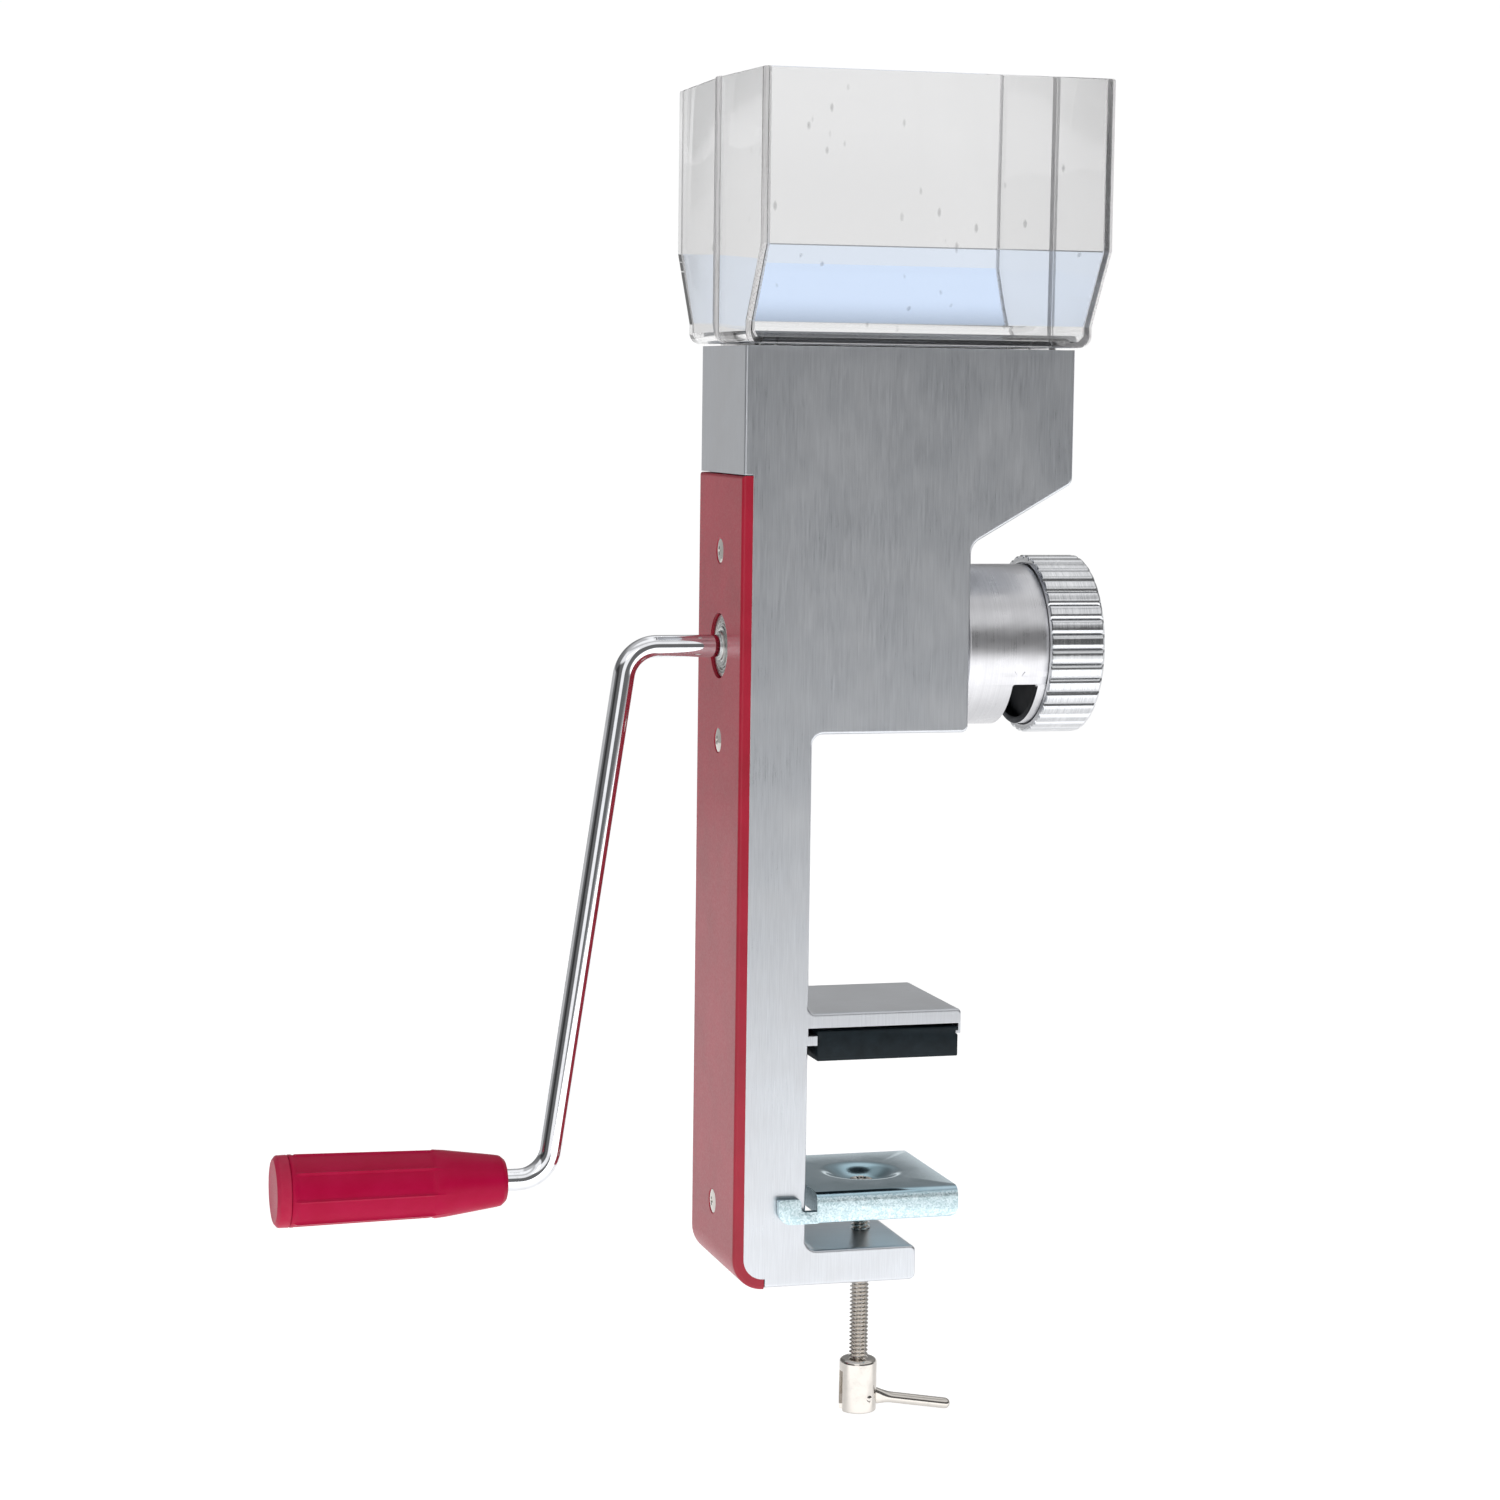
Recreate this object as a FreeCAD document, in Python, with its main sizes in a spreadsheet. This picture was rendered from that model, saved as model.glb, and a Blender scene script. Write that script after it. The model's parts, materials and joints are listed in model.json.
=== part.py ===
import FreeCAD, Part
import Sketcher

import math
import os
import re

# Clamp-on hand crank grain mill.
# Frame: origin at the centre of the rubber jaw pad's underside, where the table top touches it.
# +Z is up, +X points from the crank side to the adjusting knob, +Y runs across the casting.

doc = FreeCAD.newDocument("grain_mill")

DIMENSIONS = [
    # casting
    ("cast_width", 51.0, "width of the casting across Y"),
    ("cast_front", -49.3, "front face of the casting above the cover"),
    ("cast_top", 222.0, "hopper seat"),
    ("cast_rear", 57.7, "rear face of the wide top"),
    ("chamfer_top", 180.5, "upper end of the sloping underside"),
    ("chamfer_foot", 161.3, "lower end of the sloping underside"),
    ("head_rear", 24.6, "rear face of the milling head"),
    ("head_foot", 102.6, "underside of the milling head"),
    ("post_rear", -26.23, "inner face of the upright"),
    ("jaw_top", 15.1, "top of the upper jaw"),
    ("jaw_under", 10.5, "underside of the upper jaw"),
    ("jaw_end", 24.2, "free end of the upper jaw"),
    ("lip_foot", 7.2, "lower end of the lip that holds the pad"),
    ("ledge_top", -60.3, "top of the lower jaw"),
    ("ledge_end", 10.4, "free end of the lower jaw"),
    ("cast_foot", -71.4, "underside of the casting"),
    ("wall", 4.0, "wall of the casting"),
    ("post_wall", 5.0, "wall behind the front pocket"),
    # cover
    ("cover_front", -49.7, "front face of the cover"),
    ("cover_thick", 3.4, "thickness of the cover"),
    ("cover_top", 182.3, "top edge of the cover"),
    ("cover_foot", -72.0, "underside of the cover's hooked end"),
    ("cover_tail", -39.6, "end of the cover's hooked end"),
    ("cover_bend", 10.0, "outer radius of the cover's bend"),
    ("cover_hole", 10.3, "radius of the hub hole"),
    ("cover_gap", 0.3, "gap round the cover"),
    ("screw_high", 158.3, "upper cover screw"),
    ("screw_mid", 98.8, "middle cover screw"),
    ("screw_low", -48.8, "lower cover screw"),
    ("screw_head", 3.9, "radius of a cover screw's head"),
    ("screw_shank", 2.0, "radius of a cover screw's shank"),
    ("screw_length", 14.0, "length of a cover screw"),
    # drive line
    ("shaft_z", 128.5, "height of the shaft axis"),
    ("shaft_r", 6.0, "radius of the drive shaft"),
    ("run_fit", 0.06, "radial clearance of a running fit"),
    ("shaft_front", -49.0, "front end of the drive shaft"),
    ("shaft_rear", 43.0, "rear end of the drive shaft"),
    ("bush_flange_r", 10.0, "flange of the front bushing"),
    ("bush_r", 9.0, "body of the front bushing"),
    ("bush_front", -48.7, "front face of the bushing"),
    ("bush_rear", -31.0, "rear face of the bushing"),
    ("bore_r", 16.0, "auger bore in the casting"),
    ("bore_front", -25.0, "front end of the auger bore"),
    ("auger_core_r", 8.6, "core of the auger"),
    ("auger_r", 15.3, "flight of the auger"),
    ("auger_front", -19.5, "front end of the auger"),
    ("auger_rear", 24.0, "rear end of the auger"),
    ("auger_pitch", 14.0, "pitch of the auger flight"),
    ("spring_wire_r", 0.7, "wire radius of the shaft spring"),
    ("spring_r", 7.8, "mean radius of the shaft spring"),
    ("cone_front", 26.0, "small end of the milling cone"),
    ("cone_rear", 41.0, "large end of the milling cone"),
    ("cone_small_r", 9.1, "small end radius"),
    ("cone_large_r", 17.2, "large end radius"),
    ("burr_gap", 0.45, "radial gap between cone and ring"),
    ("ring_r", 21.0, "outer radius of the burr ring"),
    ("ring_front", 25.0, "front face of the burr ring"),
    ("ring_rear", 39.4, "rear face of the burr ring"),
    ("ball_r", 4.0, "thrust ball"),
    ("small_gap", 0.08, "axial clearance at the ball"),
    # barrel and knob
    ("barrel_r", 25.6, "outer radius of the burr barrel"),
    ("barrel_neck_r", 23.7, "threaded neck inside the knob"),
    ("barrel_neck", 56.6, "start of the neck"),
    ("barrel_end", 63.0, "end of the neck"),
    ("spigot_r", 22.6, "spigot of the barrel inside the casting"),
    ("spigot_front", 16.6, "front end of the spigot"),
    ("chamber_r", 23.6, "flour chamber"),
    ("slot_front", 40.1, "front edge of the discharge slot"),
    ("slot_rear", 48.6, "rear edge of the discharge slot"),
    ("slot_top", 117.2, "upper edge of the discharge slot"),
    ("web_front", 51.6, "front face of the barrel's end web"),
    ("web_rear", 54.2, "rear face of the end web"),
    ("web_hole_r", 9.2, "hole through the end web"),
    ("knob_front", 54.6, "front face of the knob"),
    ("knob_rear", 69.1, "rear face of the knob"),
    ("knob_r", 28.4, "radius over the ribs"),
    ("knob_root_r", 27.5, "radius between the ribs"),
    ("knob_mouth_r", 26.1, "bore of the knob over the barrel"),
    ("knob_thread_r", 24.0, "threaded bore of the knob"),
    ("knob_floor", 64.6, "inner face of the knob's end wall"),
    ("knob_boss_r", 8.4, "boss that bears on the ball"),
    ("knob_ribs", 36, "ribs round the knob"),
    # crank
    ("rod_r", 3.5, "radius of the crank rod"),
    ("rod_socket", -30.0, "inner end of the rod in the shaft"),
    ("bend_top_x", -78.9, "upper bend corner"),
    ("bend_low_x", -103.9, "lower bend corner"),
    ("grip_z", -38.8, "height of the grip axis"),
    ("bend_r", 10.5, "centreline radius of the bends"),
    ("rod_end", -181.5, "outer end of the spindle"),
    ("grip_inner", -117.2, "inner end of the grip"),
    ("grip_outer", -185.3, "outer end of the grip body, inside the cap"),
    ("grip_cap", -189.8, "outer face of the end cap"),
    # hopper
    ("hop_front", -51.6, "front wall of the hopper"),
    ("hop_rear", 59.9, "rear wall of the hopper"),
    ("hop_half", 50.2, "half width of the hopper"),
    ("hop_foot_half", 34.6, "half width of the hopper's foot"),
    ("hop_top", 303.7, "rim of the hopper"),
    ("hop_kink", 251.8, "height where the sides start to taper"),
    ("hop_base", 229.0, "top of the hopper's foot"),
    ("hop_foot", 222.6, "underside of the hopper's foot"),
    ("hop_wall", 2.5, "wall of the hopper"),
    ("spigot_depth", 10.0, "depth of the hopper's spigot"),
    ("mouth_gap", 0.4, "clearance round the spigot"),
    # clamp
    ("pad_front", -23.3, "post end of the pad"),
    ("pad_rear", 23.0, "free end of the pad"),
    ("pad_top", 9.4, "top of the pad"),
    ("plate_half", 23.3, "half length of the pressure plate"),
    ("plate_side", 28.4, "half width of the pressure plate"),
    ("plate_top", -41.4, "top of the pressure plate"),
    ("plate_foot", -51.0, "lower edge of the plate's flanges"),
    ("plate_sheet", 2.5, "sheet of the pressure plate"),
    ("arm_end", -35.9, "end of the arms beside the upright"),
    ("hook_edge", -28.5, "inner edge of the hooks"),
    ("hook_top", -43.0, "top of the hooks"),
    ("notch_z", -47.2, "bottom of the notch"),
    ("dimple_r", 12.0, "radius of the dimple"),
    ("dimple_depth", 3.6, "depth of the dimple"),
    ("clamp_r", 3.1, "radius of the clamp screw"),
    ("neck_r", 2.4, "neck of the clamp screw in the plate"),
    ("hub_top", -103.0, "top of the screw's hub"),
    ("hub_foot", -120.4, "underside of the screw's hub"),
    ("hub_r", 6.1, "radius of the screw's hub"),
    ("hub_slot", 1.95, "half width of the slot in the hub"),
    ("lever_pin_x", 2.2, "lever pin, off the screw's axis"),
    ("lever_pin_z", -115.4, "lever pin height"),
    ("lever_pin_r", 1.0, "radius of the lever pin"),
    ("lever_length", 29.9, "pin to tip of the lever"),
    ("lever_droop", 10.0, "slope of the lever in degrees"),
    ("lever_r", 1.8, "radius of the lever"),
    ("throat_front", -20.0, "front wall of the throat over the auger"),
    ("throat_rear", 12.0, "rear wall of the throat"),
    ("throat_top", 152.0, "top of the throat"),
    ("tongue_top", 8.0, "top of the tongue that holds the pad"),
    ("tongue_foot", 5.0, "underside of the tongue"),
    ("tongue_end", -21.6, "end of the tongue"),
    ("cast_edge", 0.8, "rounded border of the casting's sides"),
    ("cover_edge", 1.2, "rounded border of the cover's front"),
    ("pin_r", 1.5, "radius of the two cross pins"),
    ("crank_pin_x", -40.0, "crank pin along the shaft"),
    ("cone_pin_x", 33.5, "cone pin along the shaft"),
    ("knob_groove_r", 1.5, "radius of a groove between two ribs"),
    ("grip_nose_r", 6.5, "grip radius at its inner end"),
    ("grip_step", -139.8, "where the grip's cone starts"),
    ("grip_waist_r", 10.65, "grip radius at the cone's start"),
    ("grip_r", 11.7, "grip radius at its outer end"),
    ("flute_r", 14.0, "radius of a shallow flute in the grip"),
    ("flute_count", 8, "flutes round the grip"),
    ("nut_r", 5.5, "radius of the push nut"),
    ("nut_thick", 1.2, "thickness of the push nut"),
    ("nut_seat", -179.0, "seat of the push nut in the grip"),
    ("hop_round", 4.0, "rounding of the hopper's foot"),
    ("plate_fold", 3.0, "outer radius of the plate's folds"),
    ("dimple_floor_r", 5.0, "radius of the dimple's flat floor"),
    ("tip_r", 3.5, "radius of the screw's spread tip"),
    ("lever_eye_r", 3.3, "radius of the lever's eye"),
    ("lever_neck", 9.4, "where the lever's taper ends"),
]

FLUTES = 12

sheet = doc.addObject("Spreadsheet::Sheet", "Dims")
NAMES = set()
for line, (alias, number, meaning) in enumerate(DIMENSIONS, start=1):
    sheet.set("A%d" % line, meaning)
    sheet.set("B%d" % line, str(number))
    sheet.setAlias("B%d" % line, alias)
    NAMES.add(alias)
doc.recompute()


# ---------------------------------------------------------------- helpers

working = doc.addObject("Spreadsheet::Sheet", "Working")


def named_cells(text):
    """Points the dimension names in an expression at their cells in the sheet."""
    return re.sub(r"[a-z_]+", lambda found: "Dims." * (found.group(0) in NAMES) + found.group(0), text)


def size(text):
    """Works out an expression in dimension names, in millimetres."""
    working.set("A1", "=" + named_cells(text))
    working.recompute()
    return float(working.get("A1"))


def bind(thing, prop, text):
    """Binds a property to an expression in dimension names."""
    thing.setExpression(prop, named_cells(text))


def new_body(label):
    body = doc.addObject("PartDesign::Body", label)
    body.Label = label
    return body


def new_sketch(body, name, role, out="0", up="0"):
    """A sketch on one of the body's origin planes, moved out along its normal and up in it."""
    sketch = body.newObject("Sketcher::SketchObject", name)
    plane = next(item for item in body.Origin.OriginFeatures if item.Role == role)
    sketch.AttachmentSupport = [(plane, "")]
    sketch.MapMode = "FlatFace"
    bind(sketch, "AttachmentOffset.Base.z", out)
    bind(sketch, "AttachmentOffset.Base.y", up)
    return sketch


def fix_point(sketch, item, end, across, along):
    """Ties one point of the sketch to its two coordinates, measured from the sketch's origin."""
    for kind, text in (("DistanceX", across), ("DistanceY", along)):
        row = sketch.addConstraint(Sketcher.Constraint(kind, -1, 1, item, end, size(text)))
        bind(sketch, "Constraints[%d]" % row, text)


def add_outline(sketch, corners):
    """Adds a closed outline of straight edges whose corners are bound to the sheet."""
    spots = [FreeCAD.Vector(size(across), size(along), 0) for across, along in corners]
    first = sketch.GeometryCount
    count = len(corners)
    for here in range(count):
        sketch.addGeometry(Part.LineSegment(spots[here], spots[(here + 1) % count]), False)
    for here in range(count):
        after = first + (here + 1) % count
        sketch.addConstraint(Sketcher.Constraint("Coincident", first + here, 2, after, 1))
    for here, (across, along) in enumerate(corners):
        fix_point(sketch, first + here, 1, across, along)


def add_circle(sketch, radius, across="0", along="0"):
    centre = FreeCAD.Vector(size(across), size(along), 0)
    item = sketch.addGeometry(Part.Circle(centre, FreeCAD.Vector(0, 0, 1), size(radius)), False)
    row = sketch.addConstraint(Sketcher.Constraint("Radius", item, size(radius)))
    bind(sketch, "Constraints[%d]" % row, radius)
    fix_point(sketch, item, 3, across, along)


def feature(body, kind, name, sketch):
    step = body.newObject("PartDesign::" + kind, name)
    step.Profile = sketch
    sketch.Visibility = False
    return step


def pad(body, name, sketch, length, both_ways=False):
    step = feature(body, "Pad", name, sketch)
    step.SideType = "Symmetric" if both_ways else "One side"
    bind(step, "Length", length)
    return step


def pocket(body, name, sketch, length, both_ways=False, forward=False):
    """Cuts against the sketch's normal, along it when forward, or to both sides, and checks it."""
    doc.recompute()
    before = body.Shape.Volume
    step = feature(body, "Pocket", name, sketch)
    step.SideType = "Symmetric" if both_ways else "One side"
    step.Reversed = forward
    bind(step, "Length", length)
    doc.recompute()
    if body.Shape.Volume > before - 0.01:
        raise RuntimeError("pocket %s cuts nothing" % name)
    return step


def spin(body, kind, name, sketch, axis):
    """A full Revolution or Groove about one of the sketch's own axes."""
    step = feature(body, kind, name, sketch)
    step.ReferenceAxis = (sketch, [axis])
    step.Angle = 360
    return step


def round_edges(body, kind, name, amount, chosen):
    """Fillet or Chamfer on the edges of the body's tip that the test picks."""
    doc.recompute()
    tip = body.Tip
    names = ["Edge%d" % place for place, edge in enumerate(tip.Shape.Edges, start=1) if chosen(edge)]
    if not names:
        raise RuntimeError("no edge for %s" % name)
    step = body.newObject("PartDesign::" + kind, name)
    step.Base = (tip, names)
    bind(step, "Size" if kind == "Chamfer" else "Radius", amount)
    doc.recompute()
    if not step.isValid():
        raise RuntimeError("%s failed" % name)
    return step


def turned(label, corners, upright=False, centre="shaft_z"):
    """A turned piece. Corners are (along, radius) on an X axis, or (radius, height) upright."""
    body = new_body(label)
    sketch = new_sketch(body, label + "_half", "XZ_Plane", up="0" if upright else centre)
    add_outline(sketch, corners)
    spin(body, "Revolution", label + "_turn", sketch, "V_Axis" if upright else "H_Axis")
    return body


def bar(name, axis, radius, low, high, first="0", second="0"):
    """A plain cylinder along X, Y or Z. first and second are the other two coordinates."""
    piece = doc.addObject("Part::Cylinder", name)
    bind(piece, "Radius", radius)
    bind(piece, "Height", "(%s) - (%s)" % (high, low))
    turn = {"x": ((0, 1, 0), 90), "y": ((1, 0, 0), -90), "z": ((0, 0, 1), 0)}[axis]
    piece.Placement.Rotation = FreeCAD.Rotation(FreeCAD.Vector(*turn[0]), turn[1])
    spot = {"x": (low, first, second), "y": (first, low, second), "z": (first, second, low)}[axis]
    for letter, text in zip("xyz", spot):
        bind(piece, "Placement.Base." + letter, text)
    return piece


def block(name, across, deep, high):
    """A box between (low, high) expressions along X, Y and Z."""
    piece = doc.addObject("Part::Box", name)
    for side, letter, (low, top) in zip(("Length", "Width", "Height"), "xyz", (across, deep, high)):
        bind(piece, side, "(%s) - (%s)" % (top, low))
        bind(piece, "Placement.Base." + letter, low)
    return piece


def join(label, *pieces):
    whole = doc.addObject("Part::MultiFuse", label)
    whole.Shapes = list(pieces)
    whole.Label = label
    return whole


def cut(label, base, *tools):
    tool = tools[0] if len(tools) == 1 else join(label + "_tools", *tools)
    whole = doc.addObject("Part::Cut", label)
    whole.Base = base
    whole.Tool = tool
    whole.Label = label
    return whole


def common(label, first, second):
    whole = doc.addObject("Part::Common", label)
    whole.Base = first
    whole.Tool = second
    whole.Label = label
    return whole


def runs_along(edge, axis):
    """True for a straight edge parallel to axis 0, 1 or 2."""
    if edge.Curve.TypeId != "Part::GeomLine":
        return False
    return abs(abs(edge.Curve.Direction[axis]) - 1) < 1e-6


def edge_at(edge, axis, level, slack=0.01):
    """True where the whole edge lies at one coordinate."""
    return all(abs(vertex.Point[axis] - level) < slack for vertex in edge.Vertexes)


# ---------------------------------------------------------------- casting and cover

COVER_BACK = "(cover_front + cover_thick)"
SCREW_HEIGHTS = ("screw_high", "screw_mid", "screw_low")


def make_casting():
    """Hollow casting: hopper seat, chute, milling head, upright and the two clamp jaws."""
    body = new_body("body_casting")
    side = new_sketch(body, "casting_side", "XZ_Plane")
    add_outline(side, [
        ("cast_front", "cast_top"), ("cast_rear", "cast_top"),
        ("cast_rear", "chamfer_top"), ("head_rear", "chamfer_foot"),
        ("head_rear", "head_foot"), ("post_rear", "head_foot"),
        ("post_rear", "jaw_top"), ("jaw_end", "jaw_top"),
        ("jaw_end", "lip_foot"), ("jaw_end - 1.8", "lip_foot"),
        ("jaw_end - 1.8", "lip_foot + 1"), ("jaw_end - 1", "lip_foot + 1"),
        ("jaw_end - 1", "jaw_under"), ("post_rear", "jaw_under"),
        ("post_rear", "tongue_top"), ("tongue_end", "tongue_top"),
        ("tongue_end", "tongue_foot"), ("post_rear", "tongue_foot"),
        ("post_rear", "ledge_top"), ("ledge_end", "ledge_top"),
        ("ledge_end", "cast_foot"), ("cover_tail + cover_gap", "cast_foot"),
        ("cover_tail + cover_gap", "cover_foot + cover_thick"),
        (COVER_BACK, "cover_foot + cover_thick"),
        (COVER_BACK, "cover_top + cover_gap"), ("cast_front", "cover_top + cover_gap"),
    ])
    pad(body, "casting_pad", side, "cast_width", both_ways=True)

    corner_rounds = [
        ("bend_inner", "cover_bend - cover_thick", COVER_BACK, "cover_foot + cover_thick"),
        ("head_root", "3.5", "post_rear", "head_foot"),
        ("slope_root", "5", "head_rear", "chamfer_foot"),
        ("slope_nose", "3", "cast_rear", "chamfer_top"),
        ("jaw_root", "2.5", "post_rear", "jaw_top"),
        ("ledge_root", "4", "post_rear", "ledge_top"),
        ("ledge_nose_top", "2", "ledge_end", "ledge_top"),
        ("ledge_nose_foot", "2", "ledge_end", "cast_foot"),
        ("jaw_nose", "1.5", "jaw_end", "jaw_top"),
        ("head_nose", "2", "head_rear", "head_foot"),
    ]
    for name, radius, across, level in corner_rounds:
        place = (size(across), size(level))
        round_edges(body, "Fillet", name, radius,
                    lambda edge: runs_along(edge, 1) and edge_at(edge, 0, place[0])
                    and edge_at(edge, 2, place[1]))

    half_width = size("cast_width / 2")
    recess = size(COVER_BACK)
    slot_top, slot_foot = size("jaw_under"), size("tongue_foot")

    def is_outer_border(edge):
        """Edges of the two side faces, apart from those hidden by the cover, pad and hopper."""
        on_side = edge_at(edge, 1, half_width) or edge_at(edge, 1, -half_width)
        middle = edge.BoundBox.Center
        hidden = (abs(middle.x - recess) < 0.01 or middle.z < size("cover_foot + cover_bend")
                  and middle.x < size("cover_tail + 1") or slot_foot - 0.01 < middle.z < slot_top + 0.01
                  or abs(middle.z - size("cast_top")) < 0.01 or abs(middle.z - size("cover_top")) < 0.4)
        return on_side and not hidden

    round_edges(body, "Fillet", "cast_border", "cast_edge", is_outer_border)

    chute = new_sketch(body, "chute_side", "XZ_Plane")
    add_outline(chute, [
        ("cast_front + wall", "cast_top + 1"), ("cast_rear - wall", "cast_top + 1"),
        ("cast_rear - wall", "chamfer_top + 2.3"), ("throat_rear", "throat_top + 6"),
        ("throat_rear", "throat_top - 2"), ("throat_front", "throat_top - 2"),
        ("throat_front", "throat_top + 12"), ("cast_front + wall", "cover_top + 16"),
    ])
    pocket(body, "chute", chute, "cast_width - 2 * wall", both_ways=True)

    throat = new_sketch(body, "throat_side", "XZ_Plane")
    add_outline(throat, [
        ("throat_front", "throat_top"), ("throat_rear", "throat_top"),
        ("throat_rear", "shaft_z"), ("throat_front", "shaft_z"),
    ])
    pocket(body, "throat", throat, "2 * bore_r - 2", both_ways=True)

    bore = new_sketch(body, "bore_half", "XZ_Plane", up="shaft_z")
    add_outline(bore, [
        (COVER_BACK + " - 1", "0"), (COVER_BACK + " - 1", "bush_r"), ("bush_rear", "bush_r"),
        ("bush_rear", "shaft_r + 0.5"), ("bore_front", "shaft_r + 0.5"), ("bore_front", "bore_r"),
        ("spigot_front", "bore_r"), ("spigot_front", "spigot_r"), ("head_rear + 1", "spigot_r"),
        ("head_rear + 1", "0"),
    ])
    spin(body, "Groove", "bore", bore, "H_Axis")

    hollow = new_sketch(body, "front_hollow_face", "YZ_Plane", out=COVER_BACK)
    half = "(cast_width / 2 - wall)"
    low, top = "ledge_top + 4", "cover_top - 12"
    add_outline(hollow, [("-" + half, low), (half, low), (half, top), ("-" + half, top)])
    add_circle(hollow, "bush_r + 4", along="shaft_z")
    for height in SCREW_HEIGHTS:
        add_circle(hollow, "screw_shank + 3", along=height)
    pocket(body, "front_hollow", hollow, "post_rear - post_wall - " + COVER_BACK, forward=True)

    taps = new_sketch(body, "cover_taps_face", "YZ_Plane", out=COVER_BACK)
    for height in SCREW_HEIGHTS:
        add_circle(taps, "screw_shank", along=height)
    pocket(body, "cover_taps", taps, "screw_length - cover_thick + 1", forward=True)

    tap = new_sketch(body, "clamp_tap_face", "XY_Plane", out="ledge_top + 1")
    add_circle(tap, "clamp_r + run_fit")
    pocket(body, "clamp_tap", tap, "ledge_top - cast_foot + 2")
    return body


def make_cover():
    """Front cover: a flat plate whose foot hooks round the bottom of the casting."""
    body = new_body("front_cover")
    side = new_sketch(body, "cover_side", "XZ_Plane")
    add_outline(side, [
        ("cover_front", "cover_top"), ("cover_front", "cover_foot"), ("cover_tail", "cover_foot"),
        ("cover_tail", "cover_foot + cover_thick"), (COVER_BACK, "cover_foot + cover_thick"),
        (COVER_BACK, "cover_top"),
    ])
    pad(body, "cover_pad", side, "cast_width", both_ways=True)
    bends = [
        ("cover_bend_outer", "cover_bend", "cover_front", "cover_foot"),
        ("cover_bend_inner", "cover_bend - cover_thick", COVER_BACK, "cover_foot + cover_thick"),
    ]
    for name, radius, across, level in bends:
        place = (size(across), size(level))
        round_edges(body, "Fillet", name, radius,
                    lambda edge: runs_along(edge, 1) and edge_at(edge, 0, place[0])
                    and edge_at(edge, 2, place[1]))

    holes = new_sketch(body, "cover_holes_face", "YZ_Plane", out="cover_front - 1")
    add_circle(holes, "cover_hole", along="shaft_z")
    for height in SCREW_HEIGHTS:
        add_circle(holes, "screw_shank + 0.2", along=height)
    pocket(body, "cover_holes", holes, "cover_thick + 2", forward=True)

    front = size("cover_front")
    small = size("screw_shank + 0.2")

    def is_countersink(edge):
        return (edge.Curve.TypeId == "Part::GeomCircle" and abs(edge.Curve.Radius - small) < 0.01
                and edge_at(edge, 0, front))

    round_edges(body, "Chamfer", "countersinks", "screw_head - screw_shank + 0.05", is_countersink)

    def is_front_border(edge):
        straight = runs_along(edge, 2) and edge_at(edge, 0, front)
        across = runs_along(edge, 1) and edge_at(edge, 0, front) and edge_at(edge, 2, size("cover_top"))
        return straight or across

    round_edges(body, "Fillet", "cover_border", "cover_edge", is_front_border)
    return body


def make_cover_screws():
    """Three countersunk screws with cross recesses, as separate solids of one node."""
    screws = []
    for place, height in enumerate(SCREW_HEIGHTS, start=1):
        tag = "cover_screw_%d" % place
        head = doc.addObject("Part::Cone", tag + "_head")
        bind(head, "Radius1", "screw_head")
        bind(head, "Radius2", "screw_shank")
        bind(head, "Height", "screw_head - screw_shank")
        head.Placement.Rotation = FreeCAD.Rotation(FreeCAD.Vector(0, 1, 0), 90)
        bind(head, "Placement.Base.x", "cover_front + 0.15")
        bind(head, "Placement.Base.z", height)
        shank = bar(tag + "_shank", "x", "screw_shank - 0.05", "cover_front + 1", "cover_front + screw_length",
                    "0", height)
        depth = ("cover_front - 1", "cover_front + 1.3")
        tall = block(tag + "_tall", depth, ("-0.35", "0.35"), (height + " - 1.3", height + " + 1.3"))
        wide = block(tag + "_wide", depth, ("-1.3", "1.3"), (height + " - 0.35", height + " + 0.35"))
        screws.append(cut(tag, join(tag + "_blank", head, shank), tall, wide))
    group = doc.addObject("Part::Compound", "cover_screws")
    group.Links = screws
    group.Label = "cover_screws"
    return group


# ---------------------------------------------------------------- drive line and burrs

CONE_SLOPE = "((cone_large_r - cone_small_r) / (cone_rear - cone_front))"


def make_bushing():
    """Flanged bush in the casting's front boss. The shaft runs in it."""
    bore = "shaft_r + run_fit"
    return turned("front_bushing", [
        ("bush_front", bore), ("bush_front", "bush_flange_r"), (COVER_BACK, "bush_flange_r"),
        (COVER_BACK, "bush_r"), ("bush_rear", "bush_r"), ("bush_rear", bore),
    ])


def make_shaft():
    """Drive shaft, bored at the front for the crank rod and cross drilled for two pins."""
    blank = turned("drive_shaft_blank", [
        ("shaft_front", "rod_r"), ("shaft_front", "shaft_r"), ("shaft_rear", "shaft_r"),
        ("shaft_rear", "0"), ("rod_socket", "0"), ("rod_socket", "rod_r"),
    ])
    crank_hole = bar("shaft_crank_hole", "z", "pin_r", "shaft_z - 10", "shaft_z + 10", "crank_pin_x")
    cone_hole = bar("shaft_cone_hole", "z", "pin_r", "shaft_z - 10", "shaft_z + 10", "cone_pin_x")
    return cut("drive_shaft", blank, crank_hole, cone_hole)


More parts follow.
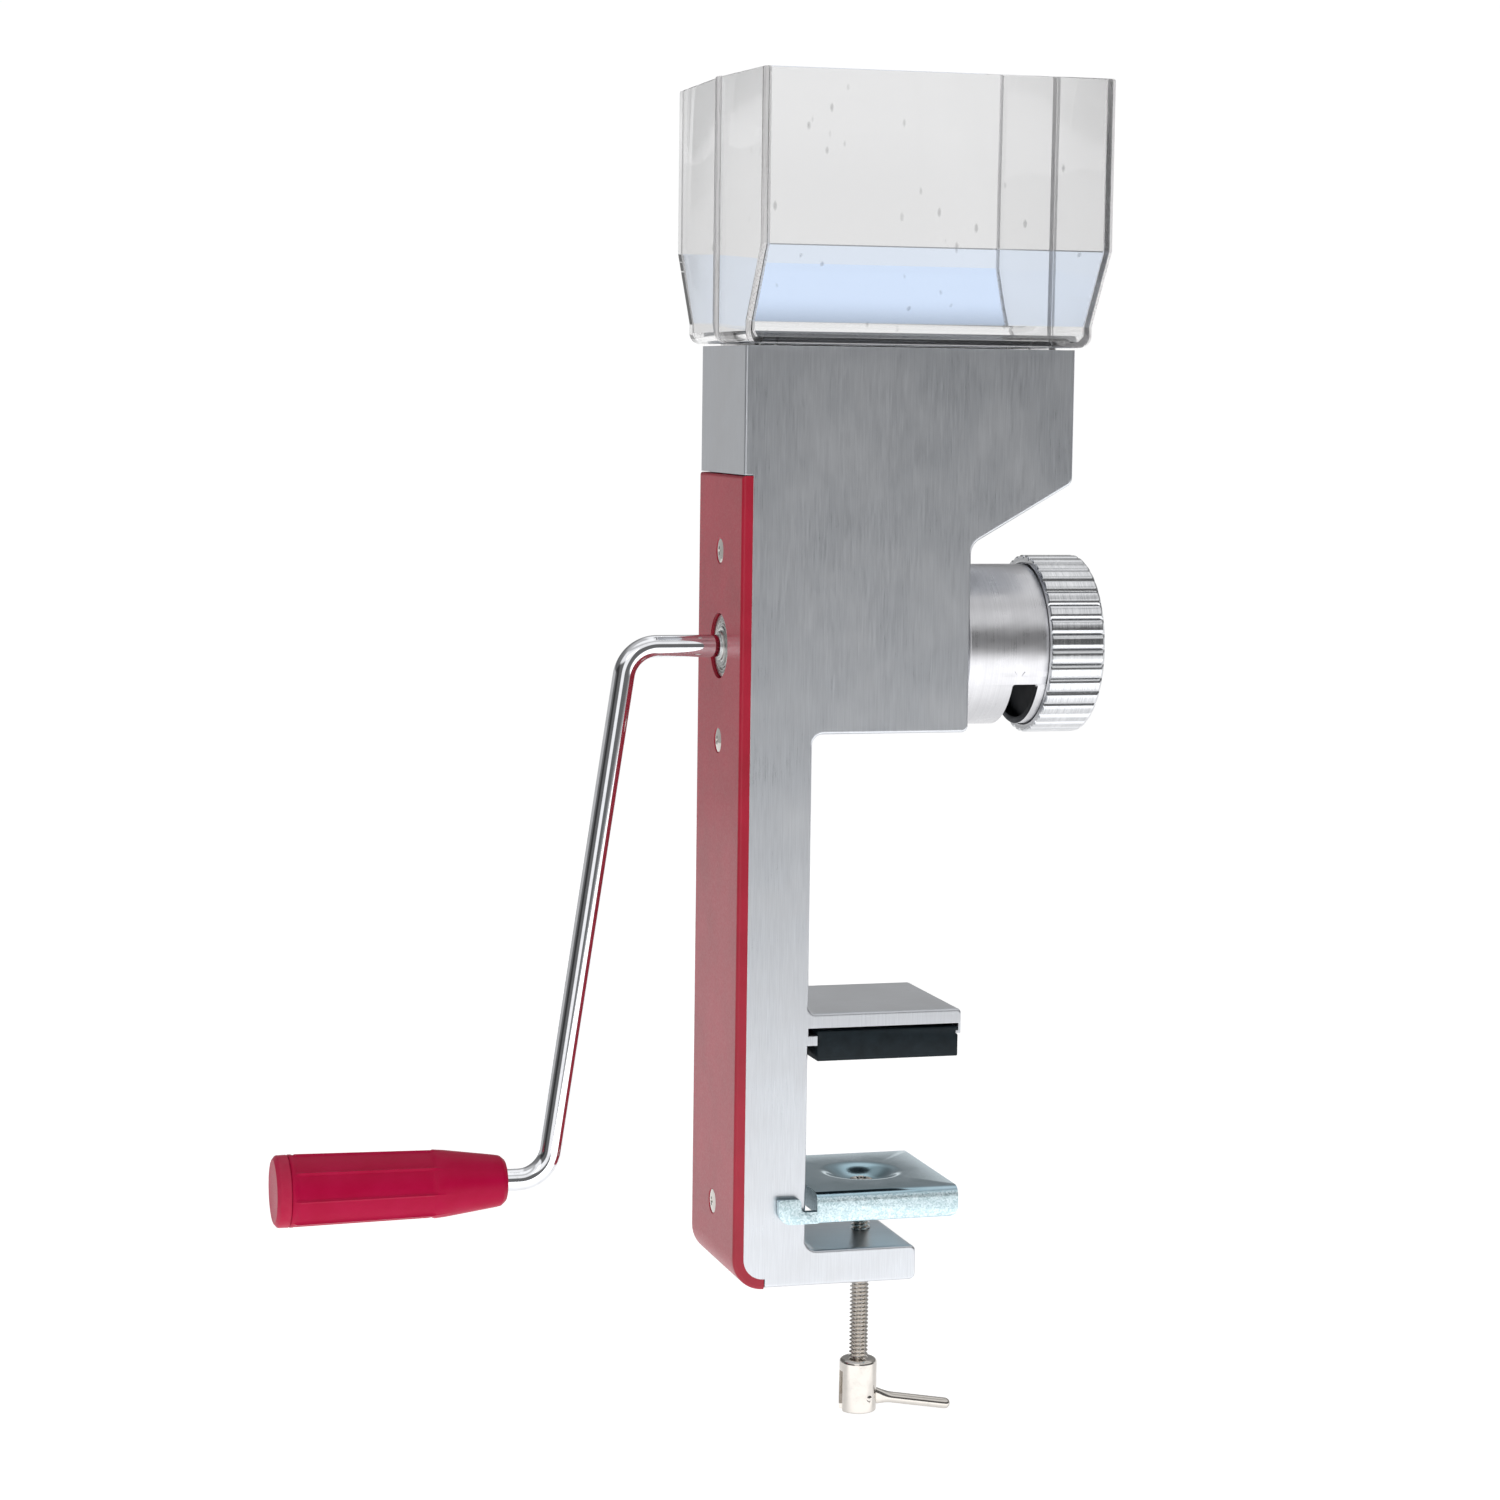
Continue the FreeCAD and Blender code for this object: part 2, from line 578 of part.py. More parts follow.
def make_crank_rod():
    """Bent round rod: shaft end, leaning arm and spindle, in the plane Y = 0."""
    body = new_body("crank_rod_blank")
    route = new_sketch(body, "crank_route", "XZ_Plane")
    start = FreeCAD.Vector(size("rod_socket"), size("shaft_z"), 0)
    upper = FreeCAD.Vector(size("bend_top_x"), size("shaft_z"), 0)
    lower = FreeCAD.Vector(size("bend_low_x"), size("grip_z"), 0)
    finish = FreeCAD.Vector(size("rod_end"), size("grip_z"), 0)
    arm = (lower - upper).normalize()
    outward = FreeCAD.Vector(-1, 0, 0)
    reach = size("bend_r") * (arm - outward).Length / (arm + outward).Length
    route.addGeometry(Part.LineSegment(start, upper - outward * reach), False)
    route.addGeometry(Part.LineSegment(upper + arm * reach, lower - arm * reach), False)
    route.addGeometry(Part.LineSegment(lower + outward * reach, finish), False)
    for corner, into, out_of in ((upper, outward, arm), (lower, arm, outward)):
        begin, end = corner - into * reach, corner + out_of * reach
        crown = corner + (out_of - into).normalize() * (
            reach / ((out_of - into).normalize().dot(out_of)) - size("bend_r"))
        route.addGeometry(Part.Arc(begin, crown, end), False)
    for corner in (upper, lower):
        route.addGeometry(Part.Point(corner), True)
    shaft_run, arm_run, spindle_run, top_arc, low_arc, top_corner, low_corner = range(7)
    touch = nearest_ends(route, ((shaft_run, top_arc), (top_arc, arm_run), (arm_run, low_arc),
                                 (low_arc, spindle_run)))
    for first, first_end, second, second_end in touch:
        route.addConstraint(Sketcher.Constraint("Tangent", first, first_end, second, second_end))
    for arc in (top_arc, low_arc):
        row = route.addConstraint(Sketcher.Constraint("Radius", arc, size("bend_r")))
        bind(route, "Constraints[%d]" % row, "bend_r")
    for run in (shaft_run, spindle_run):
        route.addConstraint(Sketcher.Constraint("Horizontal", run))
    fix_point(route, shaft_run, 1, "rod_socket", "shaft_z")
    fix_point(route, spindle_run, 2, "rod_end", "grip_z")
    fix_point(route, top_corner, 1, "bend_top_x", "shaft_z")
    fix_point(route, low_corner, 1, "bend_low_x", "grip_z")
    for corner in (top_corner, low_corner):
        route.addConstraint(Sketcher.Constraint("PointOnObject", corner, 1, arm_run))
    section = new_sketch(body, "crank_section", "YZ_Plane", out="rod_socket")
    add_circle(section, "rod_r", along="shaft_z")
    doc.recompute()
    sweep = feature(body, "AdditivePipe", "crank_sweep", section)
    sweep.Spine = (route, [])
    route.Visibility = False
    hole = bar("rod_crank_hole", "z", "pin_r", "shaft_z - 10", "shaft_z + 10", "crank_pin_x")
    return cut("crank_rod", body, hole)


def nearest_ends(sketch, pairs):
    """For each pair of edges that meet, the numbers (1 start, 2 end) of the points that touch."""
    found = []
    for first, second in pairs:
        choices = [(first, here, second, there) for here in (1, 2) for there in (1, 2)]
        found.append(min(choices, key=lambda item: (sketch.getPoint(item[0], item[1])
                                                    - sketch.getPoint(item[2], item[3])).Length))
    return found


def make_auger():
    """Feed screw on the shaft: a sleeve with one helical flight."""
    sleeve = turned("auger_sleeve", [
        ("auger_front", "shaft_r"), ("auger_front", "auger_core_r"),
        ("auger_rear", "auger_core_r"), ("auger_rear", "shaft_r"),
    ])
    flight = new_body("auger_flight")
    section = new_sketch(flight, "flight_section", "XZ_Plane", up="shaft_z")
    add_outline(section, [
        ("auger_front", "auger_core_r - 0.6"), ("auger_front", "auger_r"),
        ("auger_front + 2", "auger_r"), ("auger_front + 2.6", "auger_core_r - 0.6"),
    ])
    coil(flight, "flight_coil", section, "auger_pitch", "auger_rear - auger_front - 2.8")
    return join("feed_auger", sleeve, flight)


def coil(body, name, section, pitch, length):
    doc.recompute()
    step = feature(body, "AdditiveHelix", name, section)
    step.ReferenceAxis = (section, ["H_Axis"])
    step.Mode = "pitch-height-angle"
    bind(step, "Pitch", pitch)
    bind(step, "Height", length)
    return step


def make_spring():
    """Compression spring round the shaft that opens the burrs."""
    body = new_body("shaft_spring")
    section = new_sketch(body, "spring_section", "XZ_Plane", up="shaft_z")
    add_circle(section, "spring_wire_r", "bore_front + 2.3", "spring_r")
    coil(body, "spring_coil", section, "1.55", "2.3")
    return body


def make_spring_washer():
    """Washer between the spring and the casting."""
    return turned("spring_washer", [
        ("bore_front", "shaft_r + 0.5"), ("bore_front", "spring_r + 2.5"),
        ("bore_front + 1", "spring_r + 2.5"), ("bore_front + 1", "shaft_r + 0.5"),
    ])


def make_cone():
    """Milling cone with ground flutes, pinned to the shaft."""
    body = new_body("milling_cone_blank")
    half = new_sketch(body, "cone_half", "XZ_Plane", up="shaft_z")
    add_outline(half, [
        ("cone_front", "shaft_r"), ("cone_front", "cone_small_r"),
        ("cone_rear", "cone_large_r"), ("cone_rear", "shaft_r"),
    ])
    spin(body, "Revolution", "cone_turn", half, "H_Axis")
    holes = [bar("cone_pin_hole", "z", "pin_r", "shaft_z - 20", "shaft_z + 20", "cone_pin_x")]
    flutes = []
    for place in range(FLUTES):
        flute = block("cone_flute_%d" % place, ("0", "cone_rear - cone_front + 8"),
                      ("-0.6", "0.6"), ("-0.7", "2"))
        lean = FreeCAD.Rotation(FreeCAD.Vector(0, 1, 0), -math.degrees(math.atan(size(CONE_SLOPE))))
        around = FreeCAD.Rotation(FreeCAD.Vector(1, 0, 0), 360.0 * place / FLUTES)
        for letter in "xyz":
            flute.setExpression("Placement.Base." + letter, None)
        arm = around.multVec(FreeCAD.Vector(0, 0, size("cone_small_r")))
        flute.Placement = FreeCAD.Placement(
            FreeCAD.Vector(size("cone_front") - 2, 0, size("shaft_z")) + arm, around.multiply(lean))
        flutes.append(flute)
    return cut("milling_cone", body, *(holes + flutes))


def make_ring():
    """Fixed burr ring whose bore matches the cone at the milling gap."""
    def bore(along):
        return "cone_small_r + burr_gap + (%s - cone_front) * %s" % (along, CONE_SLOPE)
    return turned("burr_ring", [
        ("ring_front", bore("ring_front")), ("ring_front", "ring_r"),
        ("ring_rear", "ring_r"), ("ring_rear", bore("ring_rear")),
    ])


def make_barrel():
    """Burr barrel: spigot in the casting, ring seat, flour chamber, discharge slot, threaded neck."""
    body = new_body("burr_barrel")
    half = new_sketch(body, "barrel_half", "XZ_Plane", up="shaft_z")
    add_outline(half, [
        ("spigot_front", "bore_r"), ("spigot_front", "spigot_r"), ("head_rear", "spigot_r"),
        ("head_rear", "barrel_r"), ("barrel_neck", "barrel_r"), ("barrel_neck", "barrel_neck_r"),
        ("barrel_end", "barrel_neck_r"), ("barrel_end", "barrel_neck_r - 3"),
        ("web_rear", "barrel_neck_r - 3"), ("web_rear", "web_hole_r"), ("web_front", "web_hole_r"),
        ("web_front", "chamber_r"), ("ring_rear", "chamber_r"), ("ring_rear", "ring_r"),
        ("ring_front", "ring_r"), ("ring_front", "bore_r"),
    ])
    spin(body, "Revolution", "barrel_turn", half, "H_Axis")
    slot = new_sketch(body, "slot_side", "XZ_Plane")
    foot = "shaft_z - barrel_r - 2"
    add_outline(slot, [
        ("slot_front", "slot_top"), ("slot_rear", "slot_top"), ("slot_rear", foot), ("slot_front", foot),
    ])
    pocket(body, "discharge_slot", slot, "2 * barrel_r + 4", both_ways=True)
    return body


def make_knob():
    """Ribbed adjusting knob with an internal thread and a boss that bears on the thrust ball."""
    body = new_body("adjusting_knob")
    half = new_sketch(body, "knob_half", "XZ_Plane", up="shaft_z")
    boss = "shaft_rear + 2 * ball_r + 2 * small_gap"
    add_outline(half, [
        ("knob_front", "knob_mouth_r"), ("knob_front", "knob_r"), ("knob_rear - 0.8", "knob_r"),
        ("knob_rear", "knob_r - 0.8"), ("knob_rear", "0"), (boss, "0"), (boss, "knob_boss_r"),
        ("knob_floor", "knob_boss_r"), ("knob_floor", "knob_thread_r"),
        ("barrel_neck + 1.2", "knob_thread_r"), ("barrel_neck + 1.2", "knob_mouth_r"),
    ])
    spin(body, "Revolution", "knob_turn", half, "H_Axis")
    groove = new_sketch(body, "knob_groove_face", "YZ_Plane", out="knob_front - 1", up="shaft_z")
    add_circle(groove, "knob_groove_r", along="knob_root_r + knob_groove_r")
    first = pocket(body, "knob_groove", groove, "knob_rear - knob_front + 2", forward=True)
    grooves = body.newObject("PartDesign::PolarPattern", "knob_grooves")
    grooves.Originals = [first]
    grooves.Axis = (groove, ["N_Axis"])
    grooves.Angle = 360
    bind(grooves, "Occurrences", "knob_ribs")
    body.Tip = grooves
    return body


def make_ball():
    ball = doc.addObject("Part::Sphere", "thrust_ball")
    ball.Label = "thrust_ball"
    bind(ball, "Radius", "ball_r")
    bind(ball, "Placement.Base.x", "shaft_rear + small_gap + ball_r")
    bind(ball, "Placement.Base.z", "shaft_z")
    return ball


def make_pins():
    crank_pin = bar("crank_pin", "z", "pin_r", "shaft_z - shaft_r + 0.3", "shaft_z + shaft_r - 0.3",
                    "crank_pin_x")
    cone_pin = bar("cone_pin", "z", "pin_r", "shaft_z - cone_small_r", "shaft_z + cone_small_r",
                   "cone_pin_x")
    return [crank_pin, cone_pin]


# ---------------------------------------------------------------- grip

def make_grip():
    """Moulded grip that turns on the crank's spindle, with a pocket for the push nut."""
    body = new_body("handle_grip")
    half = new_sketch(body, "grip_half", "XZ_Plane", up="grip_z")
    bore = "rod_r + run_fit"
    add_outline(half, [
        ("grip_inner", bore), ("grip_inner", "grip_nose_r"), ("grip_inner - 1.2", "grip_nose_r + 1.1"),
        ("grip_step", "grip_waist_r"), ("grip_outer", "grip_r - 0.15"), ("grip_outer", "nut_r + 1.5"),
        ("nut_seat", "nut_r + 1.5"), ("nut_seat", bore),
    ])
    spin(body, "Revolution", "grip_turn", half, "H_Axis")
    flute = new_sketch(body, "grip_flute_face", "YZ_Plane", out="grip_outer + 1.5", up="grip_z")
    add_circle(flute, "flute_r", along="grip_waist_r + flute_r - 0.25")
    first = pocket(body, "grip_flute", flute, "grip_step - grip_outer - 2.5", forward=True)
    flutes = body.newObject("PartDesign::PolarPattern", "grip_flutes")
    flutes.Originals = [first]
    flutes.Axis = (flute, ["N_Axis"])
    flutes.Angle = 360
    bind(flutes, "Occurrences", "flute_count")
    body.Tip = flutes
    return body


def make_grip_cap():
    """Cap that closes the grip, with a plug that enters the nut pocket."""
    return turned("grip_end_cap", [
        ("grip_cap", "0"), ("grip_cap", "grip_r - 2"), ("grip_cap + 0.6", "grip_r - 0.8"),
        ("grip_cap + 1.8", "grip_r - 0.1"), ("grip_outer", "grip_r"), ("grip_outer", "nut_r + 1.45"),
        ("grip_outer + 1.5", "nut_r + 1.45"), ("grip_outer + 1.5", "0"),
    ], centre="grip_z")


def make_nut():
    """Push nut that holds the grip on the spindle."""
    return turned("spindle_nut", [
        ("nut_seat - nut_thick - 0.1", "rod_r"), ("nut_seat - nut_thick - 0.1", "nut_r"),
        ("nut_seat - 0.1", "nut_r"), ("nut_seat - 0.1", "rod_r"),
    ], centre="grip_z")


# ---------------------------------------------------------------- hopper

def make_hopper_half(label, sign):
    """One half of the clear hopper. sign is -1 for the near half and 1 for the far half."""
    body = new_body(label)

    def at(text):
        return "%d * (%s)" % (sign, text)

    def section(name, out, trim, base, rim):
        sketch = new_sketch(body, label + name, "YZ_Plane", out=out)
        knee = trim + " * 0.6"
        add_outline(sketch, [
            ("0", base), (at("hop_foot_half - " + trim), base),
            (at("hop_foot_half - " + trim), "hop_base + " + knee),
            (at("hop_half - " + trim), "hop_kink + " + knee),
            (at("hop_half - " + trim), rim), ("0", rim),
        ])
        return sketch

    outside = section("_outside", "hop_front", "0", "hop_foot", "hop_top")
    pad(body, label + "_block", outside, "hop_rear - hop_front")
    inside = section("_inside", "hop_front + hop_wall", "hop_wall", "hop_foot + hop_wall", "hop_top + 1")
    pocket(body, label + "_room", inside, "hop_rear - hop_front - 2 * hop_wall", forward=True)

    inner = "(wall + mouth_gap)"
    front, rear = "cast_front + " + inner, "cast_rear - " + inner
    edge = at("cast_width / 2 - " + inner)
    spigot = new_sketch(body, label + "_spigot_face", "XY_Plane", out="hop_foot - spigot_depth")
    add_outline(spigot, [(front, "0"), (rear, "0"), (rear, edge), (front, edge)])
    pad(body, label + "_spigot", spigot, "spigot_depth + hop_wall")
    drop = new_sketch(body, label + "_drop_face", "XY_Plane", out="hop_foot - spigot_depth - 1")
    slim = at("cast_width / 2 - %s - 2" % inner)
    add_outline(drop, [(front + " + 2", "0"), (rear + " - 2", "0"), (rear + " - 2", slim),
                       (front + " + 2", slim)])
    pocket(body, label + "_drop", drop, "spigot_depth + hop_wall + 2", forward=True)
    foot = size("hop_foot")
    outer = size(at("hop_foot_half"))
    ends = (size("hop_front"), size("hop_rear"))

    def is_foot_corner(edge):
        upright = runs_along(edge, 2) and edge_at(edge, 1, outer)
        long_side = runs_along(edge, 0) and edge_at(edge, 1, outer) and edge_at(edge, 2, foot)
        short = runs_along(edge, 1) and edge_at(edge, 2, foot) and (
            edge_at(edge, 0, ends[0]) or edge_at(edge, 0, ends[1]))
        return (long_side or short) and not upright

    round_edges(body, "Fillet", label + "_foot_round", "hop_round", is_foot_corner)
    return body


# ---------------------------------------------------------------- clamp

def make_pad():
    """Rubber jaw pad, grooved at both ends, that slides onto the upper jaw from the side."""
    body = new_body("jaw_pad")
    side = new_sketch(body, "pad_side", "XZ_Plane")
    fit = "0.1"
    add_outline(side, [
        ("pad_front", "0"), ("pad_rear", "0"), ("pad_rear", "lip_foot - " + fit),
        ("jaw_end - 1.8 - " + fit, "lip_foot - " + fit),
        ("jaw_end - 1.8 - " + fit, "lip_foot + 1 + " + fit),
        ("jaw_end - 1 - " + fit, "lip_foot + 1 + " + fit),
        ("jaw_end - 1 - " + fit, "pad_top"), ("pad_front", "pad_top"),
        ("pad_front", "tongue_top + " + fit), ("tongue_end + " + fit, "tongue_top + " + fit),
        ("tongue_end + " + fit, "tongue_foot - " + fit), ("pad_front", "tongue_foot - " + fit),
    ])
    pad(body, "pad_length", side, "cast_width", both_ways=True)
    return body


def make_plate():
    """Pressed steel plate with folded flanges, dimple, and arms that guide it on the upright."""
    body = new_body("pressure_plate")
    end = new_sketch(body, "plate_end", "YZ_Plane", out="arm_end")
    inner = "(plate_side - plate_sheet)"
    under = "plate_top - plate_sheet"
    add_outline(end, [
        ("-plate_side", "plate_top"), ("plate_side", "plate_top"), ("plate_side", "plate_foot"),
        (inner, "plate_foot"), (inner, under), ("-" + inner, under), ("-" + inner, "plate_foot"),
        ("-plate_side", "plate_foot"),
    ])
    pad(body, "plate_channel", end, "plate_half - arm_end")
    side, top = size("plate_side"), size("plate_top")
    round_edges(body, "Fillet", "plate_folds", "plate_fold",
                lambda edge: runs_along(edge, 0) and edge_at(edge, 2, top)
                and (edge_at(edge, 1, side) or edge_at(edge, 1, -side)))

    gap = new_sketch(body, "arm_side", "XZ_Plane")
    add_outline(gap, [
        ("arm_end - 1", "plate_top + 1"), ("-plate_half", "plate_top + 1"),
        ("-plate_half", "notch_z"), ("hook_edge", "notch_z"), ("hook_edge", "hook_top"),
        ("arm_end - 1", "hook_top"),
    ])
    pocket(body, "arm_gap", gap, "2 * plate_side + 2", both_ways=True)
    way = new_sketch(body, "post_way_face", "XY_Plane", out="plate_top + 1")
    add_outline(way, [
        ("arm_end - 1", "-" + inner), ("-plate_half", "-" + inner), ("-plate_half", inner),
        ("arm_end - 1", inner),
    ])
    pocket(body, "post_way", way, "plate_top - plate_foot + 2")

    low, tail, nose = size("plate_foot"), size("arm_end"), size("plate_half")
    round_edges(body, "Fillet", "arm_heels", "4.5",
                lambda edge: runs_along(edge, 1) and edge_at(edge, 0, tail) and edge_at(edge, 2, low))
    round_edges(body, "Fillet", "plate_toes", "2.5",
                lambda edge: runs_along(edge, 1) and edge_at(edge, 0, nose) and edge_at(edge, 2, low))

    bowl = new_sketch(body, "dimple_under", "XZ_Plane")
    floor = "plate_top - dimple_depth"
    add_outline(bowl, [
        ("0", "plate_top - 1"), ("dimple_r - 1", "plate_top - 1"), ("dimple_r - 1", under),
        ("dimple_floor_r + 1", floor + " - plate_sheet"), ("0", floor + " - plate_sheet"),
    ])
    spin(body, "Revolution", "dimple_boss", bowl, "V_Axis")
    dish = new_sketch(body, "dimple_over", "XZ_Plane")
    add_outline(dish, [
        ("0", "plate_top + 1"), ("dimple_r", "plate_top + 1"), ("dimple_r", "plate_top"),
        ("dimple_floor_r", floor), ("neck_r + run_fit", floor),
        ("neck_r + run_fit", floor + " - plate_sheet - 1"), ("0", floor + " - plate_sheet - 1"),
    ])
    spin(body, "Groove", "dimple_dish", dish, "V_Axis")
    return body


def make_clamp_screw():
    """Clamp screw: spread tip, neck in the plate, threaded length, plain end in the hub."""
    floor = "(plate_top - dimple_depth)"
    shoulder = floor + " - plate_sheet - small_gap"
    return turned("clamp_screw", [
        ("0", floor + " + 1.5"), ("tip_r - 0.8", floor + " + 1.5"), ("tip_r", floor + " + 0.7"),
        ("tip_r", floor + " + small_gap"), ("neck_r", floor + " + small_gap"),
        ("neck_r", shoulder), ("clamp_r", shoulder), ("clamp_r", "hub_top - 3"),
        ("0", "hub_top - 3"),
    ], upright=True)


def make_hub():
    """Slotted hub on the end of the clamp screw."""
    blank = turned("screw_hub_blank", [
        ("clamp_r", "hub_top"), ("hub_r - 1.2", "hub_top"), ("hub_r", "hub_top - 1.2"),
        ("hub_r", "hub_foot + 0.8"), ("hub_r - 0.8", "hub_foot"), ("0", "hub_foot"),
        ("0", "hub_top - 3"), ("clamp_r", "hub_top - 3"),
    ], upright=True)
    slot = block("hub_slot_space", ("-hub_r - 1", "hub_r + 1"), ("-hub_slot", "hub_slot"),
                 ("hub_foot - 1", "hub_top - 3.7"))
    hole = bar("hub_pin_hole", "y", "lever_pin_r", "-hub_r - 1", "hub_r + 1", "lever_pin_x", "lever_pin_z")
    return cut("screw_hub", blank, slot, hole)


def make_lever_pin():
    return bar("lever_pin", "y", "lever_pin_r", "-hub_r + 0.45", "hub_r - 0.45",
               "lever_pin_x", "lever_pin_z")


def make_lever():
    """Folding lever: a flattened eye on the pin that runs out into a round bar."""
    flat = "(hub_slot - 0.25)"
    eye = bar("lever_eye", "y", "lever_eye_r", "-" + flat, flat)
    taper = doc.addObject("Part::Cone", "lever_taper")
    bind(taper, "Radius1", "lever_eye_r")
    bind(taper, "Radius2", "lever_r")
    bind(taper, "Height", "lever_neck")
    taper.Placement.Rotation = FreeCAD.Rotation(FreeCAD.Vector(0, 1, 0), 90)
    slab = block("lever_slab", ("-1", "lever_neck"), ("-" + flat, flat), ("-6", "6"))
    shank = bar("lever_shank", "x", "lever_r", "lever_neck - 1.5", "lever_length - lever_r")
    tip = doc.addObject("Part::Sphere", "lever_tip")
    bind(tip, "Radius", "lever_r")
    bind(tip, "Placement.Base.x", "lever_length - lever_r")
    blank = join("lever_blank", eye, common("lever_flat", taper, slab), shank, tip)
    hole = bar("lever_hole", "y", "lever_pin_r + run_fit", "-6", "6")
    lever = cut("clamp_lever", blank, hole)
    lever.Placement.Rotation = FreeCAD.Rotation(FreeCAD.Vector(0, 1, 0), size("lever_droop"))
    bind(lever, "Placement.Base.x", "lever_pin_x")
    bind(lever, "Placement.Base.z", "lever_pin_z")
    return lever


# ---------------------------------------------------------------- whole mill

def check_and_write(nodes):
    """Stops on any failed object or bad shape, then writes one STEP file for each node."""
    doc.recompute()
    for item in doc.Objects:
        if "Invalid" in item.State or "Error" in item.State:
            raise RuntimeError("%s failed: %s" % (item.Name, item.State))
    for node in nodes:
        if node.Shape.isNull() or not node.Shape.isValid():
            raise RuntimeError("%s has no valid shape" % node.Label)
    os.makedirs("parts", exist_ok=True)
    for node in nodes:
        node.Shape.exportStep("parts/%s.step" % node.Label)
        print("%-18s %d solid, %8.1f mm3" % (node.Label, len(node.Shape.Solids), node.Shape.Volume))


NODES = [
    make_casting(), make_cover(), make_cover_screws(),
    make_bushing(), make_shaft(), make_crank_rod(), make_auger(), make_spring(),
    make_spring_washer(), make_cone(), make_ring(), make_barrel(), make_knob(), make_ball(),
    *make_pins(),
    make_grip(), make_grip_cap(), make_nut(),
    make_hopper_half("hopper_near_half", -1), make_hopper_half("hopper_far_half", 1),
    make_pad(), make_plate(), make_clamp_screw(), make_hub(), make_lever_pin(), make_lever(),
]
check_and_write(NODES)
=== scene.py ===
import json
import math

import bmesh
import bpy
from mathutils import Matrix, Vector


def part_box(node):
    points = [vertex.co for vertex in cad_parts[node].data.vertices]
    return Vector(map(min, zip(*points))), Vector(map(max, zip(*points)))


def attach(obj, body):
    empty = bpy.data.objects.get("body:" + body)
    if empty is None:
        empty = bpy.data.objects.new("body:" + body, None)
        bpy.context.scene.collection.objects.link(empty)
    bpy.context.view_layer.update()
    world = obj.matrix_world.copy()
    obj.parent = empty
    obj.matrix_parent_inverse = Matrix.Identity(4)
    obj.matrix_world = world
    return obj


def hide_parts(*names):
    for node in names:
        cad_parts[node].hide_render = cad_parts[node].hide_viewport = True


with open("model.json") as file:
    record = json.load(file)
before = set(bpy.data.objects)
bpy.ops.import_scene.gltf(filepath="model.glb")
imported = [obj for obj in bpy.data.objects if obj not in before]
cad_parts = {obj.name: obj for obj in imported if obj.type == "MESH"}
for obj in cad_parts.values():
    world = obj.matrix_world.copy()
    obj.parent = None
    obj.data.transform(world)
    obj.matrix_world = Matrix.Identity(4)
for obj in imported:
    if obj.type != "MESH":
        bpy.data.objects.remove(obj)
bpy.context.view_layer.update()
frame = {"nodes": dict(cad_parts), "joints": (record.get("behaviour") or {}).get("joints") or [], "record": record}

# Clamp-on hand crank grain mill. Pieces are built in millimetres and shrunk to metres at the end.
MM = 0.001
TAU = 2 * math.pi

NODES = frame["nodes"]
JOINTS = {joint["name"]: joint for joint in frame["joints"]}


# ---------------------------------------------------------------- places from the frame

def box_mm(node):
    low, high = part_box(node)
    return low / MM, high / MM


def joint_mm(name):
    return Vector(JOINTS[name]["pos_m"]) / MM


SHAFT_Z = joint_mm("crank_spin").z
GRIP_Z = joint_mm("grip_spin").z
LEVER_PIN = joint_mm("lever_fold")


# ---------------------------------------------------------------- outlines

def rounded(corners, steps=6):
    """Points of an open or closed 2D outline. Each corner is (a, b) or (a, b, radius of its round)."""
    count = len(corners)
    points = []
    for place, corner in enumerate(corners):
        here = Vector(corner[:2])
        radius = corner[2] if len(corner) > 2 else 0
        if not radius:
            points.append(here)
            continue
        before = Vector(corners[place - 1][:2])
        after = Vector(corners[(place + 1) % count][:2])
        into, out_of = (here - before).normalized(), (after - here).normalized()
        turn = into.angle_signed(out_of)
        reach = radius * math.tan(abs(turn) / 2)
        side = Vector((-into.y, into.x)) * (1 if turn < 0 else -1)
        centre = here - into * reach + side * radius
        start = here - into * reach - centre
        for step in range(steps + 1):
            spin = Matrix.Rotation(-turn * step / steps, 2)
            points.append(centre + spin @ start)
    return points


def smooth_step(value):
    value = min(max(value, 0), 1)
    return value * value * (3 - 2 * value)


# ---------------------------------------------------------------- mesh builders

def shade(mesh, sharp):
    """Smooth shading that keeps the edges sharper than the angle."""
    mesh.shade_smooth()
    mesh.set_sharp_from_angle(angle=math.radians(sharp))


def finish_mesh(name, work, material, sharp=35):
    """Turns a bmesh in millimetres into an object in metres, smooth with sharp edges kept."""
    bmesh.ops.remove_doubles(work, verts=work.verts, dist=0.0005)
    bmesh.ops.recalc_face_normals(work, faces=work.faces)
    work.transform(Matrix.Scale(MM, 4))
    mesh = bpy.data.meshes.new(name)
    work.to_mesh(mesh)
    work.free()
    shade(mesh, sharp)
    piece = bpy.data.objects.new(name, mesh)
    piece.data.materials.append(material)
    bpy.context.scene.collection.objects.link(piece)
    return piece


def bridge_rings(work, rings, loop=False):
    """Joins rings of equal point counts with quads, and caps the two ends or joins them in a loop."""
    made = [[work.verts.new(point) for point in ring] for ring in rings]
    count = len(rings[0])
    pairs = list(zip(made, made[1:]))
    if loop:
        pairs.append((made[-1], made[0]))
    for lower, upper in pairs:
        for spot in range(count):
            after = (spot + 1) % count
            work.faces.new((lower[spot], lower[after], upper[after], upper[spot]))
    if not loop:
        work.faces.new(reversed(made[0]))
        work.faces.new(made[-1])


def lathe_rings(profile, place, segments, swell=None):
    """Rings of a turned shape. place(along, across, up) gives the point, swell changes the radius."""
    rings = []
    for along, radius in profile:
        ring = []
        for step in range(segments):
            angle = TAU * step / segments
            reach = max(radius, 0.001)
            if swell:
                reach += swell(along, radius, angle)
            ring.append(place(along, reach * math.sin(angle), reach * math.cos(angle)))
        rings.append(ring)
    return rings


def on_x(height):
    """Places a turned shape along X at a height."""
    return lambda along, across, up: Vector((along, across, height + up))


def on_z(along, across, up):
    return Vector((across, up, along))


